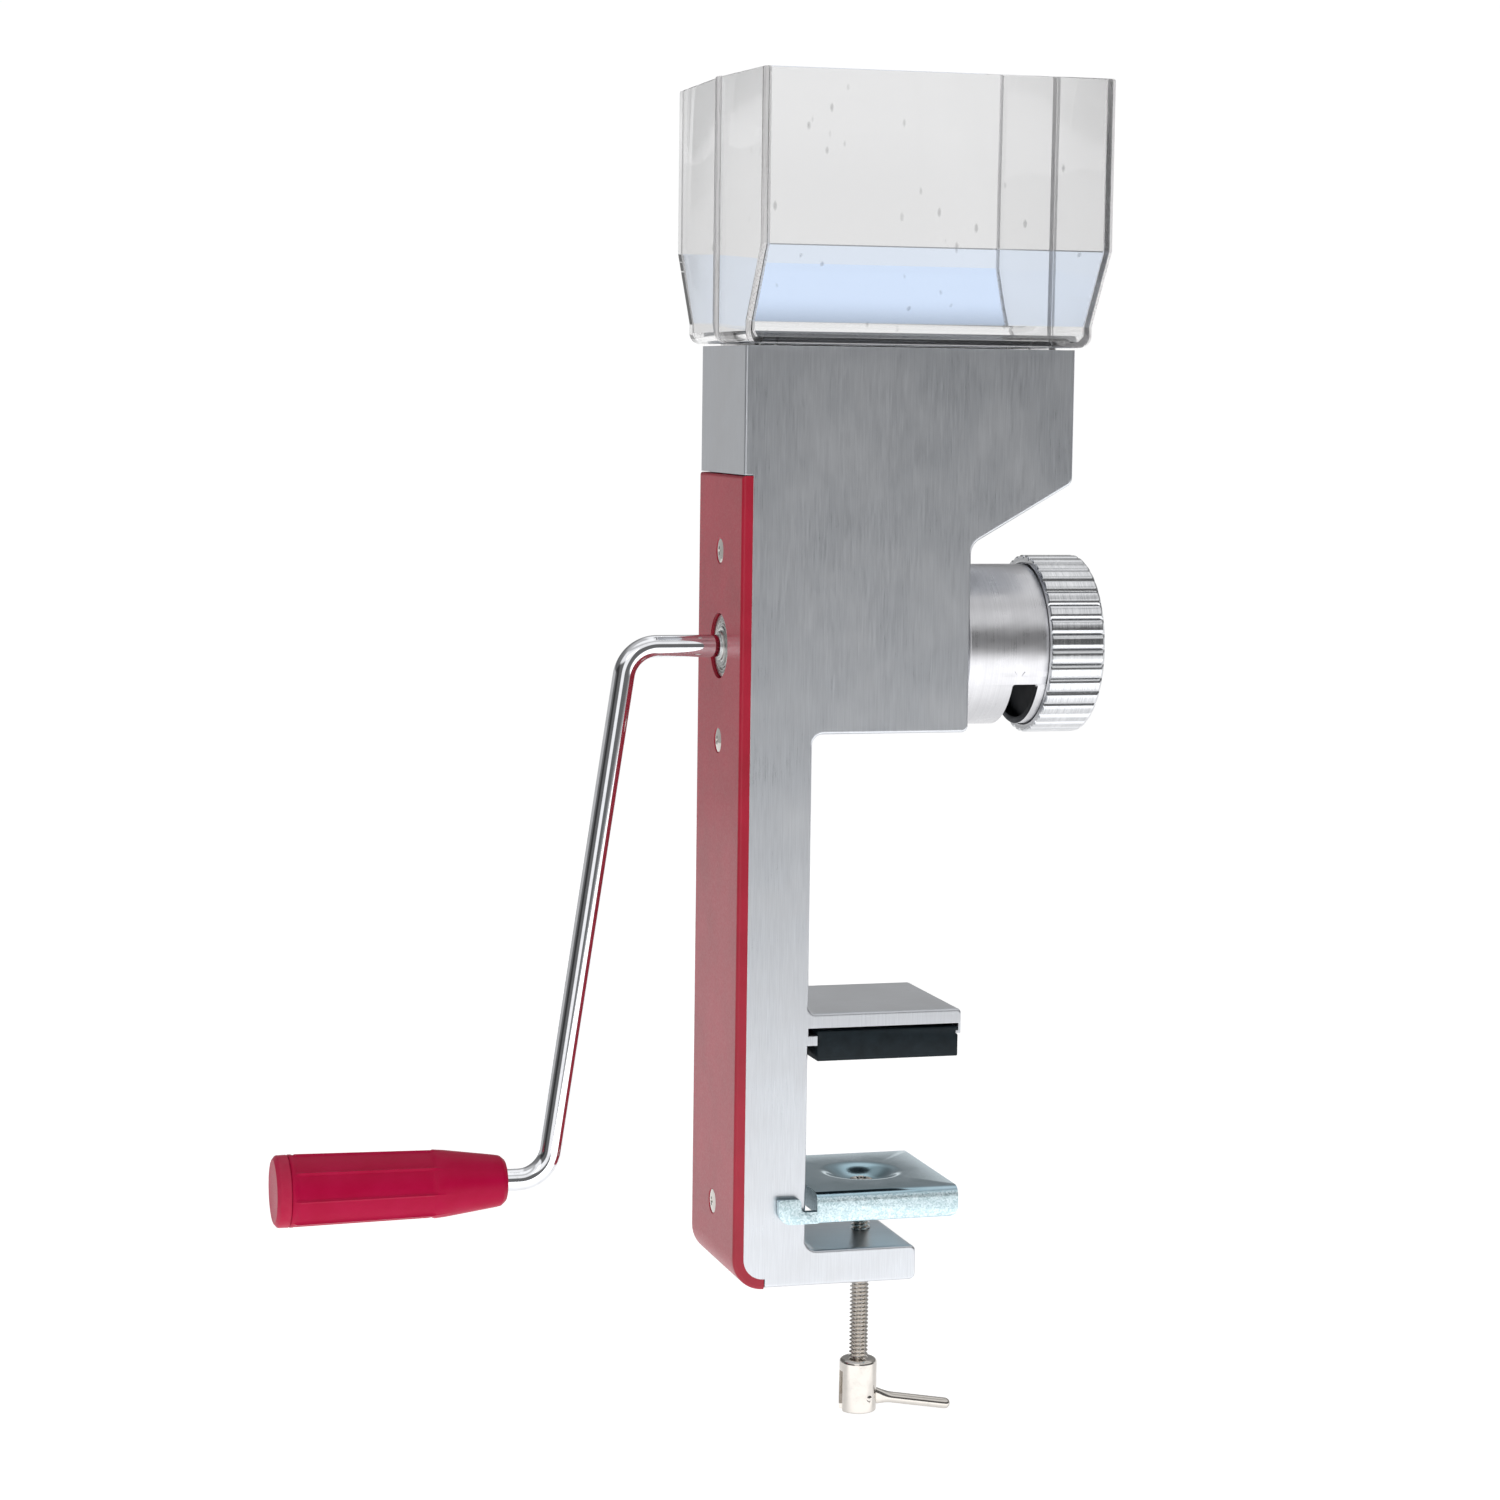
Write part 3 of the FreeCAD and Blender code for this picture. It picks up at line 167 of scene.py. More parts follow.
def on_lever_pin(along, across, up):
    """Places a turned shape along Y on the lever's pin."""
    return Vector((LEVER_PIN.x + across, along, LEVER_PIN.z + up))


def lathe(name, corners, place, material, segments=96, steps=5, swell=None, ring=False, sharp=35):
    """A turned piece. Closed corners make a ring with a bore, else both ends close on the axis."""
    work = bmesh.new()
    profile = rounded(corners, steps)
    bridge_rings(work, lathe_rings(profile, place, segments, swell), loop=ring)
    return finish_mesh(name, work, material, sharp)


def slab(work, corners, plane, low, high, steps=6):
    """Adds a prism to a bmesh. plane(a, b, depth) gives a point; corners may be rounded."""
    outline = rounded(corners, steps)
    bridge_rings(work, [[plane(a, b, depth) for a, b in outline] for depth in (low, high)])


def side_plane(a, b, depth):
    """Outline in X and Z, depth along Y."""
    return Vector((a, depth, b))


def soften(work, width, angle, segments):
    """Rounds every edge that is sharper than the angle."""
    bmesh.ops.recalc_face_normals(work, faces=work.faces)
    limit = math.radians(angle)
    edges = [edge for edge in work.edges if len(edge.link_faces) == 2
             and edge.calc_face_angle(0) > limit]
    bmesh.ops.bevel(work, geom=edges, offset=width, segments=segments, profile=0.5, affect="EDGES",
                    clamp_overlap=True)


def combine(piece, tools, operation):
    """Applies an exact boolean with throwaway tool objects."""
    for tool in tools:
        step = piece.modifiers.new("combine", "BOOLEAN")
        step.operation = operation
        step.solver = "EXACT"
        step.object = tool
    applied(piece)
    for tool in tools:
        bpy.data.objects.remove(tool)


def applied(piece):
    """Replaces the piece's mesh with its evaluated one and drops its modifiers."""
    bpy.context.view_layer.update()
    graph = bpy.context.evaluated_depsgraph_get()
    mesh = bpy.data.meshes.new_from_object(piece.evaluated_get(graph))
    piece.modifiers.clear()
    piece.data = mesh


def rounded_by_modifier(piece, width_mm, segments=2, angle=35):
    """Rounds the sharp edges of a finished piece and shades it smooth."""
    step = piece.modifiers.new("edge_round", "BEVEL")
    step.width = width_mm * MM
    step.segments = segments
    step.limit_method = "ANGLE"
    step.angle_limit = math.radians(angle)
    step.harden_normals = False
    applied(piece)
    shade(piece.data, 35)


def tube(name, route, radius, material, segments=48):
    """A round bar along a route that stays in one plane of constant Y."""
    work = bmesh.new()
    rings = []
    for place, point in enumerate(route):
        before, after = route[max(place - 1, 0)], route[min(place + 1, len(route) - 1)]
        ahead = (after - before).normalized()
        out = Vector((-ahead.y, ahead.x))
        ring = []
        for step in range(segments):
            angle = TAU * step / segments
            flat = point + out * radius * math.cos(angle)
            ring.append(Vector((flat.x, radius * math.sin(angle), flat.y)))
        rings.append(ring)
    bridge_rings(work, rings)
    return finish_mesh(name, work, material)


def settle(piece, body, slot, *replaced):
    """Says which body a piece rides on and hides the CAD nodes it replaces. slot is not used."""
    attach(piece, body)
    if replaced:
        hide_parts(*replaced)


# ---------------------------------------------------------------- shader helpers

def new_material(name, **values):
    """A Principled material. Socket values that are the same all over are set here on the shader."""
    material = bpy.data.materials.new(name)
    material.use_nodes = True
    tree = material.node_tree
    shader = tree.nodes["Principled BSDF"]
    for socket, value in values.items():
        shader.inputs[socket.replace("_", " ")].default_value = value
    return material, tree, shader


def add(tree, kind, settings=None, **links):
    """Adds a node. settings are its own properties, links its inputs: a socket is linked, else set."""
    made = tree.nodes.new("ShaderNode" + kind)
    for key, value in (settings or {}).items():
        setattr(made, key, value)
    for key, value in links.items():
        socket = made.inputs[int(key[1:])] if key[0] == "i" and key[1:].isdigit() else (
            made.inputs[key.replace("_", " ")])
        if isinstance(value, bpy.types.NodeSocket):
            tree.links.new(value, socket)
        else:
            socket.default_value = value
    return made


def place_vector(tree, scale=(1, 1, 1), drop=0.0):
    """The piece's own coordinates in millimetres, stretched for streaks and lowered by drop."""
    coords = add(tree, "TexCoord").outputs["Object"]
    big = tuple(1000 * part for part in scale)
    moved = (0, 0, -drop * scale[2])
    return add(tree, "Mapping", Vector=coords, Scale=big, Location=moved).outputs["Vector"]


def turned_vector(tree, ring):
    """Coordinates along the shaft's axis and out from it, so that noise makes rings."""
    parts = add(tree, "SeparateXYZ", Vector=place_vector(tree, drop=SHAFT_Z))
    square = [calc(tree, "MULTIPLY", parts.outputs[axis], parts.outputs[axis]) for axis in "YZ"]
    out = calc(tree, "SQRT", calc(tree, "ADD", *square), 0.0)
    along = calc(tree, "MULTIPLY", parts.outputs["X"], ring)
    return add(tree, "CombineXYZ", X=along, Y=calc(tree, "MULTIPLY", out, ring), Z=0.0).outputs[0]


def noise(tree, vector, scale=1.0, detail=3.0, rough=0.5):
    made = add(tree, "TexNoise", Vector=vector, Scale=scale, Detail=detail, Roughness=rough)
    return made.outputs[0]


def remap(tree, value, low, high, to_low=0.0, to_high=1.0, smooth=False):
    kind = "SMOOTHSTEP" if smooth else "LINEAR"
    made = add(tree, "MapRange", {"interpolation_type": kind}, i0=value, i1=low, i2=high,
               i3=to_low, i4=to_high)
    return made.outputs[0]


def blend_colour(tree, factor, first, second):
    made = add(tree, "Mix", {"data_type": "RGBA"}, i0=factor)
    for place, colour in ((6, first), (7, second)):
        if isinstance(colour, bpy.types.NodeSocket):
            tree.links.new(colour, made.inputs[place])
        else:
            made.inputs[place].default_value = (*colour, 1)
    return made.outputs[2]


def calc(tree, operation, first, second):
    return add(tree, "Math", {"operation": operation}, i0=first, i1=second).outputs[0]


def bump(tree, height, depth_mm, strength=1.0, under=None):
    """A bump whose height of 1 is depth_mm."""
    made = add(tree, "Bump", Height=height, Strength=strength, Distance=depth_mm * MM)
    if under:
        tree.links.new(under, made.inputs["Normal"])
    return made.outputs["Normal"]


def connect(tree, shader, colour=None, roughness=None, normal=None):
    for socket, value in (("Base Color", colour), ("Roughness", roughness), ("Normal", normal)):
        if value:
            tree.links.new(value, shader.inputs[socket])


# ---------------------------------------------------------------- materials

def brushed_casting():
    """Aluminium casting brushed up and down, with fine scratches and a few dark specks."""
    material, tree, shader = new_material("brushed_casting", Metallic=1.0)
    lines = noise(tree, place_vector(tree, (9, 9, 0.12)), 1.0, 4.0, 0.6)
    level = noise(tree, place_vector(tree, (0.12, 9, 9)), 1.0, 4.0, 0.6)
    facing = add(tree, "SeparateXYZ", Vector=add(tree, "NewGeometry").outputs["Normal"]).outputs["Z"]
    flat = remap(tree, calc(tree, "ABSOLUTE", facing, 0.0), 0.6, 0.8)
    grain = add(tree, "Mix", {"data_type": "FLOAT"}, i0=flat, i2=lines, i3=level).outputs[0]
    cloud = noise(tree, place_vector(tree), 0.05, 3.0, 0.6)
    speck = remap(tree, noise(tree, place_vector(tree, (1, 1, 0.8)), 0.9, 2.0, 0.5), 0.74, 0.8)
    tone = blend_colour(tree, remap(tree, grain, 0.3, 0.7), (0.52, 0.54, 0.575), (0.655, 0.68, 0.715))
    tone = blend_colour(tree, remap(tree, cloud, 0.35, 0.65, 0.0, 0.35), tone, (0.56, 0.565, 0.58))
    tone = blend_colour(tree, calc(tree, "MULTIPLY", speck, 0.45), tone, (0.78, 0.78, 0.79))
    rough = calc(tree, "ADD", remap(tree, grain, 0.25, 0.75, 0.27, 0.36),
                 remap(tree, cloud, 0.3, 0.7, -0.02, 0.03))
    edge = add(tree, "Bevel", {"samples": 4}, Radius=0.35 * MM).outputs[0]
    connect(tree, shader, tone, rough, bump(tree, grain, 0.012, 0.6, edge))
    return material


def turned_metal(name, dark, light, rough, ring, cut=0.01):
    """Turned metal: fine rings round the axis, a little blotchy."""
    material, tree, shader = new_material(name, Metallic=1.0)
    rings = noise(tree, turned_vector(tree, ring), 1.0, 3.0, 0.6)
    cloud = noise(tree, place_vector(tree), 0.16, 3.0, 0.6)
    tone = blend_colour(tree, remap(tree, rings, 0.3, 0.7), dark, light)
    tone = blend_colour(tree, remap(tree, cloud, 0.4, 0.7, 0.0, 0.3), tone, dark)
    gloss = calc(tree, "ADD", remap(tree, rings, 0.3, 0.7, *rough),
                 remap(tree, cloud, 0.3, 0.7, -0.04, 0.05))
    connect(tree, shader, tone, gloss, bump(tree, rings, cut, 0.7))
    return material


def plated(name, colour, rough=(0.04, 0.14), ripple=0.004):
    """Bright plating with faint smudges and a slight ripple."""
    material, tree, shader = new_material(name, Metallic=1.0)
    smudge = noise(tree, place_vector(tree), 0.3, 4.0, 0.65)
    wave = noise(tree, place_vector(tree), 0.7, 2.0, 0.5)
    dull = tuple(0.88 * part for part in colour)
    tone = blend_colour(tree, remap(tree, smudge, 0.45, 0.75), colour, dull)
    connect(tree, shader, tone, remap(tree, smudge, 0.35, 0.75, *rough), bump(tree, wave, ripple, 0.5))
    return material


def zinc_sheet():
    """Blue passivated zinc: glossy on top, frosted crystals on the flanges. The flanges are painted paler than the
    top, and their bright crystal cells are painted sparkle highlights.
    """
    material, tree, shader = new_material("zinc_sheet", Metallic=1.0)
    facing = add(tree, "SeparateXYZ", Vector=add(tree, "NewGeometry").outputs["Normal"]).outputs["Z"]
    side = remap(tree, calc(tree, "ABSOLUTE", facing, 0.0), 0.25, 0.75, 1.0, 0.0, True)
    cells = add(tree, "TexVoronoi", {"feature": "F1"}, Vector=place_vector(tree), Scale=2.2)
    shade = add(tree, "SeparateColor", Color=cells.outputs["Color"]).outputs[0]
    fine = noise(tree, place_vector(tree), 2.6, 3.0, 0.7)
    cloud = noise(tree, place_vector(tree), 0.07, 3.0, 0.6)
    top = blend_colour(tree, remap(tree, cloud, 0.3, 0.7), (0.28, 0.42, 0.48), (0.40, 0.53, 0.61))
    # Painted light: sideways faces are paler than the top, and the brightest cells are painted sparkle; the
    # frosted grain and roughness are real.
    frost_and_painted_sparkle = blend_colour(tree, remap(tree, shade, 0.1, 0.9), (0.42, 0.56, 0.60), (0.74, 0.86, 0.90))
    tone = blend_colour(tree, side, top, frost_and_painted_sparkle)
    gloss = add(tree, "Mix", {"data_type": "FLOAT"}, i0=side,
                i2=remap(tree, cloud, 0.3, 0.7, 0.11, 0.17),
                i3=remap(tree, shade, 0.0, 1.0, 0.28, 0.5)).outputs[0]
    grit = calc(tree, "ADD", calc(tree, "MULTIPLY", shade, 0.6), fine)
    height = calc(tree, "MULTIPLY", grit, add(tree, "Mix", {"data_type": "FLOAT"}, i0=side,
                                              i2=0.04, i3=1.0).outputs[0])
    connect(tree, shader, tone, gloss, bump(tree, height, 0.09, 0.8))
    return material


def red_enamel():
    """Baked enamel on sheet: fine orange peel and a soft coat."""
    material, tree, shader = new_material("red_enamel_paint", Specular_IOR_Level=0.34, Coat_Weight=0.22,
                                          Coat_Roughness=0.14)
    peel = noise(tree, place_vector(tree), 1.6, 3.0, 0.6)
    cloud = noise(tree, place_vector(tree), 0.05, 3.0, 0.6)
    tone = blend_colour(tree, remap(tree, cloud, 0.3, 0.7), (0.31, 0.001, 0.018), (0.38, 0.003, 0.027))
    tone = blend_colour(tree, remap(tree, peel, 0.62, 0.8, 0.0, 0.25), tone, (0.50, 0.03, 0.07))
    connect(tree, shader, tone, remap(tree, peel, 0.3, 0.7, 0.34, 0.46), bump(tree, peel, 0.03, 0.8))
    return material


def crimson_moulding(name, base, dusty):
    """Satin moulded plastic with a spark-eroded grain."""
    material, tree, shader = new_material(name, IOR=1.5, Specular_IOR_Level=0.12)
    grain = noise(tree, place_vector(tree), 4.5, 3.0, 0.7)
    cloud = noise(tree, place_vector(tree), 0.12, 4.0, 0.6)
    tone = blend_colour(tree, remap(tree, cloud, 0.35, 0.7, 0.0, 0.5), base, dusty)
    tone = blend_colour(tree, remap(tree, grain, 0.6, 0.8, 0.0, 0.35), tone, dusty)
    connect(tree, shader, tone, remap(tree, grain, 0.3, 0.7, 0.33, 0.47), bump(tree, grain, 0.03, 0.7))
    return material


def clear_moulding(name, tint, rough=0.02):
    """Clear styrene: faint scratches and a few dark specks in the wall."""
    material, tree, shader = new_material(name, Transmission_Weight=1.0, IOR=1.27)
    scratch = noise(tree, place_vector(tree, (0.25, 0.25, 1.6)), 0.8, 5.0, 0.7)
    speck = add(tree, "TexVoronoi", {"feature": "F1"}, Vector=place_vector(tree, (1, 1, 0.5)),
                Scale=0.16)
    pick = add(tree, "SeparateColor", Color=speck.outputs["Color"]).outputs[0]
    dot = calc(tree, "MULTIPLY", remap(tree, speck.outputs["Distance"], 0.06, 0.13, 1.0, 0.0),
               remap(tree, pick, 0.80, 0.84))
    dark = tuple(0.45 * part for part in tint)
    tone = blend_colour(tree, calc(tree, "MULTIPLY", dot, 0.9), tint, dark)
    gloss = calc(tree, "ADD", remap(tree, scratch, 0.62, 0.75, rough, rough + 0.12),
                 calc(tree, "MULTIPLY", dot, 0.2))
    wave = noise(tree, place_vector(tree), 0.03, 2.0, 0.5)
    connect(tree, shader, tone, gloss, bump(tree, wave, 0.08, 0.4))
    return material


def moulded_edge():
    """Corners, ribs and joint faces of the clear moulding, where the wall is seen edge on. Their pale grey is
    painted light, standing in for the light caught in the wall's edge.
    """
    material, tree, shader = new_material("clear_styrene_edge_painted_light", Transmission_Weight=0.35, IOR=1.3)
    streak = noise(tree, place_vector(tree, (2.5, 2.5, 0.06)), 1.0, 3.0, 0.6)
    tone = blend_colour(tree, remap(tree, streak, 0.3, 0.7), (0.74, 0.73, 0.735), (0.88, 0.875, 0.88))
    connect(tree, shader, tone, remap(tree, streak, 0.3, 0.7, 0.2, 0.4), bump(tree, streak, 0.03, 0.4))
    return material


def black_rubber():
    """Moulded rubber with dust in its grain."""
    material, tree, shader = new_material("black_rubber_pad", Specular_IOR_Level=0.18)
    grain = noise(tree, place_vector(tree), 3.5, 4.0, 0.7)
    cloud = noise(tree, place_vector(tree), 0.2, 3.0, 0.6)
    tone = blend_colour(tree, remap(tree, cloud, 0.3, 0.7), (0.003, 0.007, 0.010),
                        (0.008, 0.015, 0.020))
    tone = blend_colour(tree, remap(tree, grain, 0.66, 0.8, 0.0, 0.5), tone, (0.07, 0.08, 0.09))
    edge = add(tree, "Bevel", {"samples": 4}, Radius=0.5 * MM).outputs[0]
    connect(tree, shader, tone, remap(tree, grain, 0.3, 0.7, 0.38, 0.55),
            bump(tree, grain, 0.03, 0.6, edge))
    return material


def make_materials():
    return {
        "cast_aluminium": brushed_casting(),
        "turned_aluminium": turned_metal("satin_turned", (0.50, 0.50, 0.52), (0.70, 0.70, 0.72),
                                         (0.26, 0.36), 7.0),
        "knob_metal": turned_metal("ribbed_knob_metal", (0.50, 0.51, 0.53), (0.74, 0.75, 0.77),
                                   (0.14, 0.24), 4.0, 0.006),
        "machined_steel": turned_metal("machined_faces", (0.40, 0.41, 0.40), (0.60, 0.61, 0.60),
                                       (0.20, 0.34), 9.0),
        "burr_steel": turned_metal("ground_burr", (0.36, 0.36, 0.37), (0.52, 0.52, 0.53),
                                   (0.22, 0.36), 8.0),
        # near-black copy of the turned metal, painted shade for the inside of the barrel's bore
        "painted_shade_bore": turned_metal("painted_shade_bore", (0.02, 0.022, 0.026), (0.05, 0.055, 0.065),
                                    (0.5, 0.65), 5.0),
        "spring_steel": plated("drawn_spring_wire", (0.42, 0.42, 0.43), (0.18, 0.32)),
        "chrome_rod": plated("bright_chrome", (0.80, 0.81, 0.84), (0.03, 0.09)),
        "nickel_plate": plated("warm_nickel", (0.58, 0.55, 0.515), (0.05, 0.13)),
        "zinc_steel": zinc_sheet(),
        "red_enamel": red_enamel(),
        "crimson_plastic": crimson_moulding("crimson_satin", (0.38, 0.000, 0.036),
                                            (0.44, 0.004, 0.055)),
        "cap_plastic": crimson_moulding("crimson_cap", (0.42, 0.010, 0.050), (0.48, 0.05, 0.10)),
        "clear_plastic": clear_moulding("clear_styrene", (0.885, 0.885, 0.887)),
        "edge_painted_light": moulded_edge(),
        # a bluer copy of the clear styrene for the sloped panels: a painted reflection
        "slope_painted_reflection": clear_moulding("clear_styrene_painted_slope_reflection", (0.79, 0.86, 0.965)),
        "black_rubber": black_rubber(),
    }


LOOK = make_materials()


def dress_cad():
    """Every CAD node that stays gets the material of its slot."""
    for row in frame["record"]["subparts"]:
        node = NODES[row["node"]]
        node.data.materials.clear()
        node.data.materials.append(LOOK[row["material_slot"]])


# ---------------------------------------------------------------- cover screws and hub

def cover_screws():
    """Raised countersunk heads with a tapered cross recess, as three pieces."""
    low, high = box_mm("cover_screws")
    head_r, shank_r, recess, wing = (high.y - low.y) / 2, 1.95, 1.5, 0.36
    middle = SHAFT_Z - 29.7
    for number, place in enumerate((high.z - head_r, middle, low.z + head_r), 1):
        screw = lathe("cover_screw_%d" % number, [
            (low.x - 0.42, 0), (low.x - 0.36, 1.6), (low.x + 0.02, head_r - 0.15, 0.1),
            (low.x + 0.2, head_r), (low.x + head_r - shank_r, shank_r + 0.05), (high.x - 0.8, shank_r),
            (high.x, shank_r - 0.8), (high.x, 0)], on_x(place), LOOK["nickel_plate"], 72)
        tools = []
        for turn in (0, math.pi / 2):
            work = bmesh.new()
            spin = Matrix.Rotation(turn, 4, "X")
            rings = []
            for depth, reach, half in ((low.x - 2, 1.75, wing + 0.06),
                                       (low.x + recess, 0.9, wing - 0.1)):
                flat = [(-half, -reach), (half, -reach), (half, reach), (-half, reach)]
                rings.append([spin @ Vector((depth, a, b)) + Vector((0, 0, place)) for a, b in flat])
            bridge_rings(work, rings)
            tools.append(finish_mesh("cross_tool", work, LOOK["nickel_plate"]))
        combine(screw, tools, "DIFFERENCE")
        shade(screw.data, 30)
        settle(screw, "frame", "nickel_plate", "cover_screws")


def hub_pieces():
    """Flanged bush with turned rings, and the shaft's polished collar round the crank rod."""
    low, high = box_mm("front_bushing")
    shaft_low, shaft_high = box_mm("drive_shaft")
    flange_r, body_r, bore = (high.y - low.y) / 2, 9.0, 6.08
    face = low.x
    bush = lathe("front_bush", [
        (face, bore, 0.1), (face, 6.9), (face + 0.4, 7.1), (face + 0.4, 7.45), (face, 7.65),
        (face, 8.1), (face + 0.25, 8.2), (face + 0.25, 8.4), (face, 8.5), (face, flange_r, 0.35),
        (face + 2.5, flange_r), (face + 2.5, body_r), (high.x, body_r, 0.3), (high.x, bore, 0.3)],
        on_x(SHAFT_Z), LOOK["machined_steel"], 128, ring=True)
    settle(bush, "frame", "machined_steel", "front_bushing")
    rod, socket = 3.5, 18.9
    front = shaft_low.x
    shaft = lathe("shaft_with_collar", [
        (front - 0.9, rod), (front - 0.9, 4.5, 0.4), (front - 0.05, 4.6, 0.1), (front + 0.12, 4.9),
        (front + 0.12, 5.1), (front, 5.3), (front, 6.03), (shaft_high.x - 0.6, 6.03),
        (shaft_high.x, 5.4), (shaft_high.x, 0.5), (front + socket, 0.5), (front + socket, rod)],
        on_x(SHAFT_Z), LOOK["machined_steel"], 96, ring=True)
    settle(shaft, "crank", "machined_steel", "drive_shaft")


# ---------------------------------------------------------------- crank and grip

BEND_TOP_X = -78.9
BEND_LOW_X = -103.9
BEND_R = 10.5
GRIP_STEP = -139.8
GRIP_RIBS = 8


def crank_rod():
    low, high = box_mm("crank_rod")
    radius = high.y
    route = rounded([(high.x, SHAFT_Z), (BEND_TOP_X, SHAFT_Z, BEND_R), (BEND_LOW_X, GRIP_Z, BEND_R),
                     (low.x, GRIP_Z)], 24)
    rod = tube("crank_rod_bent", route, radius, LOOK["chrome_rod"])
    settle(rod, "crank", "chrome_rod", "crank_rod")


def grip_flutes(along, angle, end):
    """Depth of the shallow flutes between the grip's ribs, fading out at both ends."""
    cap_end = smooth_step((along - end - 1.2) / 0.5)
    fade = cap_end * smooth_step((GRIP_STEP + 0.8 - along) / 2.6)
    share = angle / TAU * GRIP_RIBS % 1
    across = abs(share - 0.5) * 2
    flute = 1 - across ** 2
    crest = smooth_step((1 - across) / 0.13)
    rib, shoulder, scoop, end_ring = 0.22, 0.62, 0.34, 0.4
    return fade * (rib - shoulder * crest - scoop * flute) - end_ring * (1 - cap_end)


def grip():
    low, high = box_mm("handle_grip")
    bore, nose, waist, wide = 3.58, 7.75, 10.85, 11.65
    nut_r, nut_deep = 7.0, 6.2
    steps, cone_steps = 56, 6
    stretch = [(GRIP_STEP + (low.x + 0.3 - GRIP_STEP) * step / steps) for step in range(steps + 1)]
    outer = [(place, waist + (wide - waist) * (GRIP_STEP - place) / (GRIP_STEP - low.x))
             for place in stretch]
    cone = [(GRIP_STEP + (high.x - 3 - GRIP_STEP) * (1 - part / cone_steps),
             nose + 0.4 + (waist - nose - 0.4) * part / cone_steps) for part in range(cone_steps)]
    corners = [(high.x, bore, 0.2), (high.x, nose - 1.3, 1.1), (high.x - 1.6, nose + 0.1, 1.4),
               *cone, *outer, (low.x, wide - 0.3), (low.x, nut_r), (low.x + nut_deep, nut_r),
               (low.x + nut_deep, bore)]
    profile = rounded(corners)
    work = bmesh.new()

    def swell(along, radius, angle):
        return grip_flutes(along, angle + math.radians(6), low.x) if radius > waist - 0.6 else 0

    bridge_rings(work, lathe_rings(profile, on_x(GRIP_Z), 256, swell), loop=True)
    settle(finish_mesh("grip_body", work, LOOK["crimson_plastic"], 50), "grip", "crimson_plastic",
           "handle_grip")


def grip_cap():
    low, high = box_mm("grip_end_cap")
    wide = high.y - 0.2
    seam = box_mm("handle_grip")[0].x
    cap = lathe("grip_cap", [
        (low.x + 0.12, 0), (low.x + 0.1, wide - 3.4), (low.x, wide - 2.6), (low.x, wide - 1.6, 0.7),
        (low.x + 1.0, wide - 0.35, 0.8), (seam - 0.35, wide - 0.3), (seam - 0.1, wide - 0.5),
        (seam - 0.1, 6.9), (high.x, 6.9), (high.x, 0)],
        on_x(GRIP_Z), LOOK["cap_plastic"], 160, 6)
    settle(cap, "grip", "crimson_plastic", "grip_end_cap")


# ---------------------------------------------------------------- barrel and knob

KNOB_RIBS = 36


def knob():
    low, high = box_mm("adjusting_knob")
    ball_end = box_mm("thrust_ball")[1].x + 0.08
    crest, deep, mouth, thread, boss = 28.4, 0.95, 26.1, 24.0, 8.4
    edge, land = 1.0, 2.2

    def ribs(along, radius, angle):
        if radius < mouth + 0.5:
            return 0
        across = abs(angle / TAU * KNOB_RIBS % 1 - 0.5) * 2
        groove = max(0.0, (across - 0.25) / 0.75) ** 2.4
        round_end = smooth_step((high.x - along + 0.2) / 1.2)
        share = smooth_step((radius - mouth - 0.5) / 1.2)
        return -deep * groove * (0.35 + 0.65 * round_end) * share

    inner = low.x + 3.2
    corners = [(low.x, mouth, 0.15), (low.x, crest - 0.4, 0.1), (low.x + 0.3, crest),
               *[(low.x + 0.3 + (high.x - low.x - edge - 0.3) * step / 4, crest) for step in (1, 2, 3)],
               (high.x - edge, crest, 0.7), (high.x, crest - edge, 0.7), (high.x, crest - land - 2),
               (high.x - 0.35, crest - land - 2.4), (high.x - 0.35, 9.0), (high.x - 0.1, 8.6),
               (high.x - 0.1, 0), (ball_end, 0), (ball_end, boss, 0.3),
               (high.x - 4.5, boss, 0.6), (high.x - 4.5, thread, 0.4), (inner, thread), (inner, mouth)]
    work = bmesh.new()
    bridge_rings(work, lathe_rings(rounded(corners, 4), on_x(SHAFT_Z), KNOB_RIBS * 14, ribs), loop=True)
    piece = finish_mesh("ribbed_knob", work, LOOK["knob_metal"], 40)
    settle(piece, "knob", "knob_metal", "adjusting_knob")


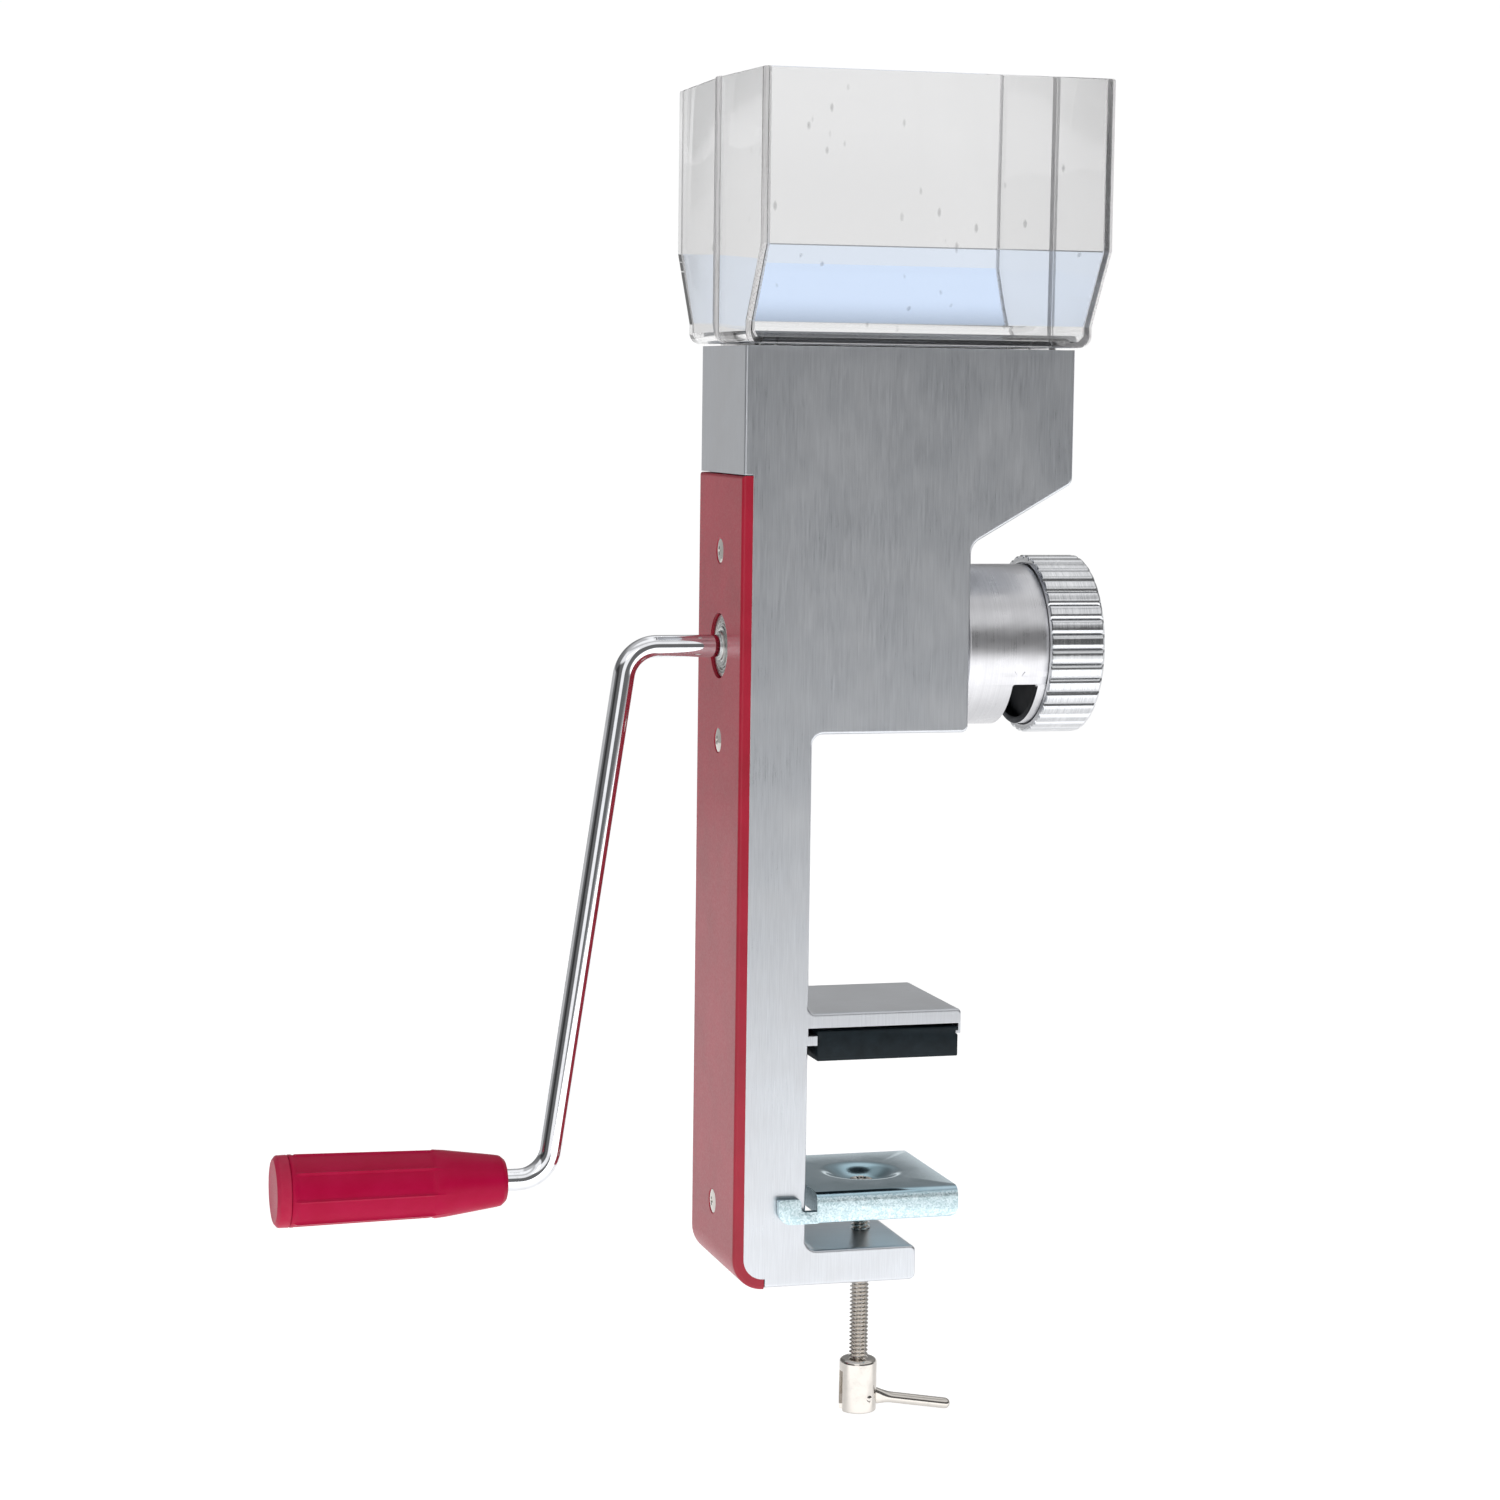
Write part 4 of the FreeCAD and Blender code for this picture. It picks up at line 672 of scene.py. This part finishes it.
def barrel():
    """Barrel with its discharge slot, rounded slot edges and an index mark above the slot."""
    low, high = box_mm("burr_barrel")
    outer = (high.y - low.y) / 2
    head, neck, neck_r = 24.6, 56.6, 23.7
    slot_front, slot_rear, slot_top = 40.1, 48.6, 117.2
    seat, seat_rear, chamber, web, web_hole = 21.0, 39.4, 23.6, (51.6, 54.2), 9.2
    piece = lathe("burr_barrel_turned", [
        (low.x, 16.0), (low.x, 22.6, 0.4), (head, 22.6), (head, outer - 0.5), (head + 0.5, outer, 0.4),
        (neck - 0.5, outer, 0.3), (neck, outer - 0.5), (neck, neck_r), (high.x, neck_r, 0.4),
        (high.x, neck_r - 3), (web[1], neck_r - 3), (web[1], web_hole), (web[0], web_hole),
        (web[0], chamber), (seat_rear, chamber), (seat_rear, seat), (25.0, seat), (25.0, 16.0)],
        on_x(SHAFT_Z), LOOK["turned_aluminium"], 160, ring=True)
    tools = []
    work = bmesh.new()
    slot_foot = SHAFT_Z - outer - 4
    slab(work, [(slot_front, slot_foot), (slot_rear, slot_foot), (slot_rear, slot_top, 0.8),
                (slot_front, slot_top, 0.8)], side_plane, -40, 40)
    tools.append(finish_mesh("slot_tool", work, LOOK["turned_aluminium"]))
    tip = ((slot_front + slot_rear) / 2 - 2.6, slot_top + 1.7)
    for lean in (-1, 1):
        work = bmesh.new()
        top = (tip[0] + lean * 1.7, tip[1] + 2.5)
        away = Vector((top[0] - tip[0], top[1] - tip[1])).normalized() * 0.16
        side = (away.y, -away.x)
        slab(work, [(tip[0] - side[0], tip[1] - side[1]), (tip[0] + side[0], tip[1] + side[1]),
                    (top[0] + side[0], top[1] + side[1]), (top[0] - side[0], top[1] - side[1])],
             side_plane, -outer - 1, -math.sqrt(outer ** 2 - (SHAFT_Z - tip[1] - 1.2) ** 2) + 0.12)
        tools.append(finish_mesh("mark_tool_%d" % (lean + 2), work, LOOK["turned_aluminium"]))
    combine(piece, tools, "DIFFERENCE")
    rounded_by_modifier(piece, 0.12, 2, 40)
    # Painted shade: faces inside the chamber get the near-black metal where the bore lies in shade.
    piece.data.materials.append(LOOK["painted_shade_bore"])
    for face in piece.data.polygons:
        middle = face.center / MM
        reach = math.hypot(middle.y, middle.z - SHAFT_Z)
        if reach < chamber + 0.1 and low.x + 1 < middle.x < web[1]:
            face.material_index = 1
    settle(piece, "frame", "turned_aluminium", "burr_barrel")


# ---------------------------------------------------------------- hopper

HOPPER_WALL = 2.3
HOPPER_KINK = 251.8
HOPPER_BASE = 229.0
HOPPER_FOOT_HALF = 34.6
SEAM_HALF = 1.2


def half_plan(front, rear, half, corner, rib):
    """Half of a rounded rectangle seen from above, from the front seam round to the rear seam."""
    rib_foot = SEAM_HALF + 0.25
    path = [(front - rib, 0), (front - rib, SEAM_HALF), (front, rib_foot), (front, half, corner),
            (rear, half, corner), (rear, rib_foot), (rear + rib, SEAM_HALF), (rear + rib, 0)]
    return rounded(path, 6)


def hopper_rows(low, high, half):
    """Rows of the hopper's closed wall section: front, rear, half width, corner, rib and height."""
    mouth_low, mouth_high = box_mm("body_casting")
    inset = 4.4
    spigot = (mouth_low.x + inset, mouth_high.x - inset, mouth_high.y - inset)
    foot = low.z + 10
    wall = HOPPER_WALL
    slope = (half - HOPPER_FOOT_HALF) / (HOPPER_KINK - HOPPER_BASE)

    def level(height, inward, corner, rib=0.0):
        across = half
        if height < HOPPER_KINK:
            across = max(HOPPER_FOOT_HALF, half - (HOPPER_KINK - height) * slope)
        return (low.x + inward, high.x - inward, across - inward, corner * 1.2, rib, height)

    foot_in, foot_rise = 3.2, 3.6
    rows = [level(foot, foot_in, 1.2)]
    rows += [level(foot + foot_rise * (1 - math.cos(turn)), foot_in * (1 - math.sin(turn)), 1.4,
                   0.6 * math.sin(turn)) for turn in [math.radians(15 * step) for step in range(1, 7)]]
    rows += [level(HOPPER_BASE, 0, 1.6, 1.0), level(HOPPER_BASE + 0.6, 0, 1.6, 1.0)]
    rows += [level(HOPPER_KINK - 0.8, 0, 1.6, 1.0), level(HOPPER_KINK, 0, 1.6, 1.0)]
    rows += [level(high.z - 0.7, 0, 1.6, 1.0), level(high.z - 0.2, 0.15, 1.5, 1.0),
             level(high.z, 0.6, 1.3, 0.9)]
    rows += [level(high.z, wall - 0.6, 0.9), level(high.z - 0.2, wall - 0.15, 0.7),
             level(high.z - 0.7, wall, 0.7)]
    rows += [level(HOPPER_KINK, wall, 0.7), level(HOPPER_BASE + 0.6, wall, 0.7)]
    rows += [level(foot + wall + 1.4, wall, 0.8), level(foot + wall, wall + 1.4, 0.6)]
    rim = (spigot[0] + 2, spigot[1] - 2, spigot[2] - 2, 1.2, 0.0)
    rows += [(*rim, foot + wall), (*rim, low.z), (spigot[0], spigot[1], spigot[2], 2.0, 0.0, low.z),
             (spigot[0], spigot[1], spigot[2], 2.0, 0.0, foot)]
    return rows


def hopper_half(node, body, side):
    """One moulded half of the hopper. side is -1 for the near half and 1 for the far one."""
    low, high = box_mm(node)
    half = max(abs(low.y), abs(high.y))
    seam_rise = 0.85
    work = bmesh.new()
    columns = []
    for front, rear, wide, corner, rib, height in hopper_rows(low, high, half):
        points = half_plan(front, rear, wide, corner, rib)
        rise = seam_rise if height > high.z - 2 else 0
        columns.append([work.verts.new((point.x, side * max(point.y, 0.02),
                                        height + rise * (1 - min(point.y / wide, 1))))
                        for point in points])
    for first, second in zip(columns, columns[1:] + columns[:1]):
        for spot in range(len(first) - 1):
            work.faces.new((first[spot], first[spot + 1], second[spot + 1], second[spot]))
    for end in (0, -1):
        work.faces.new([column[end] for column in columns])
    piece = finish_mesh(node + "_moulding", work, LOOK["clear_plastic"], 28)
    piece.data.materials.append(LOOK["slope_painted_reflection"])
    piece.data.materials.append(LOOK["edge_painted_light"])
    for face in piece.data.polygons:
        middle = face.center / MM
        # Painted light: corners and joint faces, seen edge on, get the pale grey edge material.
        corner = abs(face.normal.x) > 0.2 and abs(face.normal.y) > 0.2 and middle.z > low.z + 10
        joint = abs(face.normal.y) > 0.7 and abs(middle.y) < 2
        if corner or joint:
            face.material_index = 2
            continue
        # Painted reflection: the outer sloped panels get the bluer copy of the clear styrene.
        outside = abs(middle.y) > HOPPER_FOOT_HALF - HOPPER_WALL - 1
        if HOPPER_BASE < middle.z < HOPPER_KINK and outside and 0.2 < abs(face.normal.z) < 0.95:
            face.material_index = 1
    settle(piece, body, "clear_plastic", node)


# ---------------------------------------------------------------- jaw pad and pressure plate

def jaw_pad():
    """Rubber pad with closed ends, grooved for the upright's tongue and for the jaw's lip."""
    low, high = box_mm("jaw_pad")
    side = high.y + 0.2
    lip_low, lip_high, lip_end = 7.05, 8.35, high.x - 0.85
    tongue_low, tongue_high, tongue_end = 4.9, 8.1, -21.5
    work = bmesh.new()
    slab(work, [(low.x, low.z), (high.x, low.z), (high.x, lip_low), (lip_end, lip_low),
                (lip_end, lip_high), (high.x, lip_high), (high.x, high.z), (low.x, high.z)],
         side_plane, -side, side)
    soften(work, 0.45, 40, 3)
    pad = finish_mesh("rubber_pad", work, LOOK["black_rubber"])
    tool = bmesh.new()
    slab(tool, [(low.x - 1, tongue_low), (tongue_end, tongue_low), (tongue_end, tongue_high),
                (low.x - 1, tongue_high)], side_plane, -high.y - 0.02, high.y + 0.02)
    combine(pad, [finish_mesh("groove_tool", tool, LOOK["black_rubber"])], "DIFFERENCE")
    settle(pad, "frame", "black_rubber", "jaw_pad")


PLATE_SHEET = 2.5
PLATE_FOLD = 3.2
DIMPLE_R = 13.5
DIMPLE_FLOOR = 4.6
DIMPLE_DEPTH = 3.6
SCREW_HOLE = 2.46


def dish_depth(radius, rim=DIMPLE_R):
    """Depth of the pressed dish at a distance from its centre, with soft rim and foot."""
    if radius >= rim:
        return 0
    share = (rim - radius) / (rim - DIMPLE_FLOOR)
    return DIMPLE_DEPTH * smooth_step(share * 0.97) if share < 1 else DIMPLE_DEPTH


def plate_top_sheet(work, high, side):
    """The plate's flat and its dish as one closed sheet with a round hole, edges as a square."""
    count = 128
    radii = [SCREW_HOLE + (DIMPLE_R + 0.4 - SCREW_HOLE) * step / 22 for step in range(23)]
    half_x, half_y = high.x, side - PLATE_FOLD
    rows = []
    for under in (False, True):
        sheet = []
        for radius in radii:
            drop = dish_depth(radius, DIMPLE_R - (1.0 if under else 0))
            height = high.z - drop - (PLATE_SHEET if under else 0)
            sheet.append([(radius * math.cos(TAU * step / count),
                           radius * math.sin(TAU * step / count), height) for step in range(count)])
        border = []
        for step in range(count):
            across, along = math.cos(TAU * step / count), math.sin(TAU * step / count)
            reach = min(half_x / max(abs(across), 1e-6), half_y / max(abs(along), 1e-6))
            border.append((reach * across, reach * along, high.z - (PLATE_SHEET if under else 0)))
        for corner in ((half_x, half_y), (half_x, -half_y), (-half_x, half_y), (-half_x, -half_y)):
            near = min(range(count), key=lambda step: math.hypot(border[step][0] - corner[0],
                                                                 border[step][1] - corner[1]))
            border[near] = (*corner, border[near][2])
        sheet.append(border)
        rows.append(sheet)
    bridge_rings(work, rows[0] + list(reversed(rows[1])), loop=True)


def flange_section(high, side):
    """Section of a folded flange in Y and Z, from the flat's edge round the fold and down."""
    top, inner = high.z, PLATE_FOLD - PLATE_SHEET
    outer = [(side - PLATE_FOLD * (1 - math.sin(turn)), top - PLATE_FOLD * (1 - math.cos(turn)))
             for turn in [math.radians(9 * step) for step in range(11)]]
    inside = [(side - PLATE_FOLD + inner * math.sin(turn),
               top - PLATE_SHEET - inner * (1 - math.cos(turn)))
              for turn in [math.radians(22.5 * step) for step in range(4, -1, -1)]]
    return outer, inside


def flange(work, low, high, side, sign):
    """One flange over the plate's own length, joined to the flat."""
    outer, inside = flange_section(high, side)
    foot = [(side, low.z + 0.6), (side - 0.25, low.z + 0.15), (side - 0.8, low.z),
            (side - PLATE_SHEET + 0.6, low.z), (side - PLATE_SHEET, low.z + 0.5)]
    section = outer + foot + inside
    rings = [[Vector((place, sign * y, z)) for y, z in section] for place in (-high.x, high.x)]
    bridge_rings(work, rings)


def arm(work, low, high, side, sign):
    """The flat arm that runs on beside the upright and ends in a rounded hook."""
    hook_top, notch, hook_edge = -43.0, -47.2, -28.5
    outline = [(-high.x + 0.4, low.z), (low.x, low.z, 4.2), (low.x, hook_top, 0.8),
               (hook_edge, hook_top, 1.2), (hook_edge, notch, 1.4), (-high.x + 0.4, notch)]
    depths = (side - PLATE_SHEET, side) if sign > 0 else (-side, PLATE_SHEET - side)
    slab(work, outline, side_plane, *depths)


def pressure_plate():
    """Pressed and folded clamp plate with a deep soft dish, folded flanges and hooked arms."""
    low, high = box_mm("pressure_plate")
    side = high.y
    parts = []
    makers = [lambda work: plate_top_sheet(work, high, side)]
    makers += [lambda work, sign=sign: flange(work, low, high, side, sign) for sign in (-1, 1)]
    makers += [lambda work, sign=sign: arm(work, low, high, side, sign) for sign in (-1, 1)]
    lip_top, lip_foot, lip_side = high.z - 1, -48.2, 0.7 - high.x
    lip = [(-high.x, lip_top), (-high.x, lip_foot), (lip_side, lip_foot), (lip_side, lip_top)]
    makers.append(lambda work: slab(work, lip, side_plane, 1 - side, side - 1))
    for number, make in enumerate(makers):
        work = bmesh.new()
        make(work)
        parts.append(finish_mesh("plate_part_%d" % number, work, LOOK["zinc_steel"]))
    plate = parts[0]
    combine(plate, parts[1:], "UNION")
    toe = bmesh.new()
    reach = 2.6
    slab(toe, [(high.x - reach, low.z - 1), (high.x + 1, low.z - 1), (high.x + 1, low.z + reach),
               (high.x, low.z + reach), (high.x - reach * 0.3, low.z + reach * 0.3),
               (high.x - reach, low.z)], side_plane, -side - 1, side + 1)
    combine(plate, [finish_mesh("toe_tool", toe, LOOK["zinc_steel"])], "DIFFERENCE")
    rounded_by_modifier(plate, 0.35, 3, 40)
    plate.name = "clamp_plate"
    settle(plate, "plate", "zinc_steel", "pressure_plate")


# ---------------------------------------------------------------- clamp screw and lever

def clamp_screw():
    """Clamp screw: spread star tip in the dish, neck, and a cut helical thread down to the hub."""
    foot = box_mm("clamp_screw")[0].z
    plate_top = box_mm("pressure_plate")[1].z
    pitch, crest, root = 1.27, 3.1, 2.25
    shoulder = plate_top - DIMPLE_DEPTH - PLATE_SHEET - 0.1
    per_turn, turn_rows = 40, 8
    work = bmesh.new()
    rings = []
    length = shoulder - foot
    rows = int(length / pitch * turn_rows)
    for row in range(rows + 1):
        height = foot + length * row / rows
        ring = []
        for step in range(per_turn):
            phase = (height / pitch - step / per_turn) % 1
            tooth = min(1, max(0, (abs(phase - 0.5) * 2 - 0.1) / 0.82))
            ends = min(1, (shoulder - height) / 0.9)
            radius = root + (crest - root) * tooth if ends > 0.1 else root
            angle = TAU * step / per_turn
            ring.append(Vector((radius * math.cos(angle), radius * math.sin(angle), height)))
        rings.append(ring)
    bridge_rings(work, rings)
    thread = finish_mesh("clamp_screw_thread", work, LOOK["nickel_plate"], 50)
    settle(thread, "screw", "nickel_plate", "clamp_screw")

    floor = plate_top - DIMPLE_DEPTH

    def star(along, radius, angle):
        if radius < 1.0 or along < floor + 0.3:
            return 0
        return 0.32 * math.sin(5 * angle) + 0.14 * math.sin(11 * angle + 1)

    tip = lathe("clamp_screw_tip", [
        (shoulder - 0.5, 0), (shoulder - 0.5, 2.4), (floor + 0.05, 2.4), (floor + 0.1, 3.3, 0.2),
        (floor + 0.9, 3.4, 0.4), (floor + 1.3, 2.6, 0.3), (floor + 1.05, 1.9), (floor + 0.6, 1.3),
        (floor + 1.0, 0.8), (floor + 1.1, 0)], on_z, LOOK["nickel_plate"], 96, swell=star)
    settle(tip, "screw", "nickel_plate", "clamp_screw")


def screw_hub():
    """Turned hub with a rounded shoulder, slotted for the lever."""
    low, high = box_mm("screw_hub")
    radius = high.x
    hub = lathe("slotted_hub", [
        (high.z, 0), (high.z, 3.6), (high.z, radius, 1.3), (low.z + 0.2, radius, 0.7),
        (low.z, radius - 0.9), (low.z, 0)], on_z, LOOK["nickel_plate"], 96, 6)
    slot = bmesh.new()
    slab(slot, [(-radius - 2, low.z - 2), (radius + 2, low.z - 2), (radius + 2, high.z - 5.2),
                (-radius - 2, high.z - 3.7)], side_plane, -1.95, 1.95)
    pin = lathe("pin_tool", [(-9, 0), (-9, 1.02), (9, 1.02), (9, 0)], on_lever_pin,
                LOOK["nickel_plate"], 32)
    combine(hub, [finish_mesh("hub_slot_tool", slot, LOOK["nickel_plate"]), pin], "DIFFERENCE")
    rounded_by_modifier(hub, 0.22, 3, 35)
    settle(hub, "screw", "nickel_plate", "screw_hub")
    low, high = box_mm("lever_pin")
    reach = high.y
    rivet = lathe("lever_rivet", [
        (-reach - 0.1, 0), (-reach, 0.6), (0.15 - reach, 1.0), (reach - 0.15, 1.0), (reach, 0.6),
        (reach + 0.1, 0)], on_lever_pin, LOOK["nickel_plate"], 32)
    settle(rivet, "screw", "nickel_plate", "lever_pin")


def clamp_lever():
    """Folding lever: flattened eye on the rivet that swells into a round bar with a domed end."""
    droop = math.radians(10)
    ahead = Vector((math.cos(droop), 0, -math.sin(droop)))
    up = Vector((math.sin(droop), 0, math.cos(droop)))
    length, bar, eye, flat = 29.9, 1.8, 3.3, 1.7
    work = bmesh.new()
    rings = []
    stations = [-eye * math.cos(math.radians(10 * step)) for step in range(1, 10)]
    stations += [0.9 * step for step in range(1, 12)] + [14, 18, 22, 26]
    stations += [length - bar + bar * math.sin(math.radians(15 * step)) for step in range(0, 6)]
    for place in stations:
        if place <= 0:
            tall = math.sqrt(max(eye ** 2 - place ** 2, 0.01))
        else:
            tall = bar + (eye - bar) * (1 - smooth_step(place / 9.4))
        wide = flat + (bar - flat) * smooth_step((place - 3) / 6)
        power = 4 - 2 * smooth_step((place - 2) / 7)
        if place > length - bar:
            shrink = math.sqrt(max(1 - ((place - length + bar) / bar) ** 2, 0.0005))
            tall, wide = tall * shrink, wide * shrink
        ring = []
        for step in range(48):
            angle = TAU * step / 48
            a, b = math.cos(angle), math.sin(angle)
            size = (abs(a) ** power + abs(b) ** power) ** (-1 / power)
            side = a * size * wide
            high = b * size * tall
            ring.append(LEVER_PIN + ahead * place + up * high + Vector((0, side, 0)))
        rings.append(ring)
    bridge_rings(work, rings)
    lever = finish_mesh("folding_lever", work, LOOK["nickel_plate"], 50)
    hole = lathe("lever_hole_tool", [(-4, 0), (-4, 1.08), (4, 1.08), (4, 0)], on_lever_pin,
                 LOOK["nickel_plate"], 32)
    combine(lever, [hole], "DIFFERENCE")
    shade(lever.data, 50)
    settle(lever, "lever", "nickel_plate", "clamp_lever")


# ---------------------------------------------------------------- light, floor and camera

def direction_parts(tree):
    """Elevation in degrees, and X and Y of the level direction, of the ray that leaves the scene."""
    way = add(tree, "TexCoord").outputs["Generated"]
    parts = add(tree, "SeparateXYZ", Vector=way)
    sine = calc(tree, "ARCSINE", parts.outputs["Z"], 0.0)
    elevation = calc(tree, "MULTIPLY", sine, 180 / math.pi)
    return elevation, parts.outputs["X"], parts.outputs["Y"]


def ramp(tree, value, stops):
    """Smooth steps of brightness: stops are (value, brightness)."""
    level = stops[0][1]
    result = None
    for (low, first), (high, second) in zip(stops, stops[1:]):
        step = remap(tree, value, low, high, 0.0, second - first, True)
        result = step if result is None else calc(tree, "ADD", result, step)
    return calc(tree, "ADD", result, level)


def studio_world():
    """White sweep behind the mill, dim room with one soft box in front of it, dark flag at the left."""
    world = bpy.data.worlds.new("studio")
    bpy.context.scene.world = world
    world.use_nodes = True
    tree = world.node_tree
    elevation, level_x, level_y = direction_parts(tree)
    behind = ramp(tree, elevation, [(-25, 1.02), (6.5, 1.02), (12, 0.28), (34, 0.42), (60, 1.1)])
    behind = calc(tree, "MULTIPLY", behind, remap(tree, level_x, -0.10, 0.05, 0.55, 1.0, True))
    before = ramp(tree, elevation, [(-16, 1.5), (-7, 0.16), (22, 0.16), (29, 1.05), (46, 1.05),
                                    (54, 0.6), (70, 1.2)])
    back = remap(tree, level_y, -0.08, 0.12, 0.0, 1.0, True)
    tone = add(tree, "Mix", {"data_type": "FLOAT"}, i0=back, i2=before, i3=behind).outputs[0]
    flag = calc(tree, "MULTIPLY", remap(tree, level_x, -0.88, -0.96, 0.0, 1.0, True),
                remap(tree, calc(tree, "ABSOLUTE", elevation, 0.0), 24, 32, 1.0, 0.0, True))
    tone = calc(tree, "MULTIPLY", tone, remap(tree, flag, 0.0, 1.0, 1.0, 0.3))
    strip = calc(tree, "MULTIPLY", remap(tree, level_x, -0.66, -0.56, 0.0, 1.0, True),
                 remap(tree, level_x, -0.10, -0.20, 0.0, 1.0, True))
    strip = calc(tree, "MULTIPLY", strip, remap(tree, level_y, 0.0, -0.2, 0.0, 1.0, True))
    strip = calc(tree, "MULTIPLY", strip, remap(tree, elevation, 30, 40, 0.95, 0.0, True))
    tone = calc(tree, "ADD", tone, strip)
    backdrop = tree.nodes["Background"]
    tree.links.new(tone, backdrop.inputs["Strength"])
    backdrop.inputs["Color"].default_value = (1, 1, 1, 1)


def studio_floor():
    """Pale paper sweep well below the mill, lit from below like a light table, most of all in front."""
    material, tree, shader = new_material("floor_paper", Emission_Color=(1, 1, 1, 1))
    along = add(tree, "SeparateXYZ", Vector=place_vector(tree)).outputs["Y"]
    tree.links.new(remap(tree, along, -500, 150, 1.15, 0.40, True), shader.inputs["Emission Strength"])
    cloud = noise(tree, place_vector(tree), 0.004, 3.0, 0.6)
    fibre = noise(tree, place_vector(tree), 0.9, 3.0, 0.6)
    tone = blend_colour(tree, remap(tree, cloud, 0.3, 0.7), (0.93, 0.93, 0.93), (0.95, 0.95, 0.95))
    connect(tree, shader, tone, remap(tree, fibre, 0.3, 0.7, 0.75, 0.9), bump(tree, fibre, 0.02, 0.3))
    work = bmesh.new()
    centre, radius, count = Vector((40, 700, -330)), 2600, 96
    angles = [TAU * step / count for step in range(count)]
    work.faces.new([work.verts.new(centre + radius * Vector((math.cos(angle), math.sin(angle), 0)))
                    for angle in angles])
    floor = finish_mesh("floor", work, material)


def camera():
    """Three quarter view from the crank side, slightly above the middle."""
    yaw, pitch, roll = (math.radians(angle) for angle in (15.88, 5.88, 0.74))
    turn = (Matrix.Rotation(roll, 3, "Y") @ Matrix.Rotation(pitch, 3, "X")
            @ Matrix.Rotation(yaw, 3, "Z"))
    right, ahead, up = turn.row
    pose = Matrix((right, up, -ahead)).transposed().to_4x4()
    pose.translation = Vector((-0.3402, -1.0585, 0.2088))
    lens = bpy.data.cameras.new("camera")
    lens.lens = 84.2
    lens.sensor_width = 36
    view = bpy.data.objects.new("camera", lens)
    view.matrix_world = pose
    bpy.context.scene.collection.objects.link(view)
    bpy.context.scene.camera = view


# ---------------------------------------------------------------- whole mill

dress_cad()
cover_screws()
hub_pieces()
crank_rod()
grip()
grip_cap()
knob()
barrel()
hopper_half("hopper_near_half", "hopper", -1)
hopper_half("hopper_far_half", "hopper", 1)
jaw_pad()
pressure_plate()
clamp_screw()
screw_hub()
clamp_lever()

studio_world()
studio_floor()
camera()
bpy.context.scene.view_settings.view_transform = "Standard"
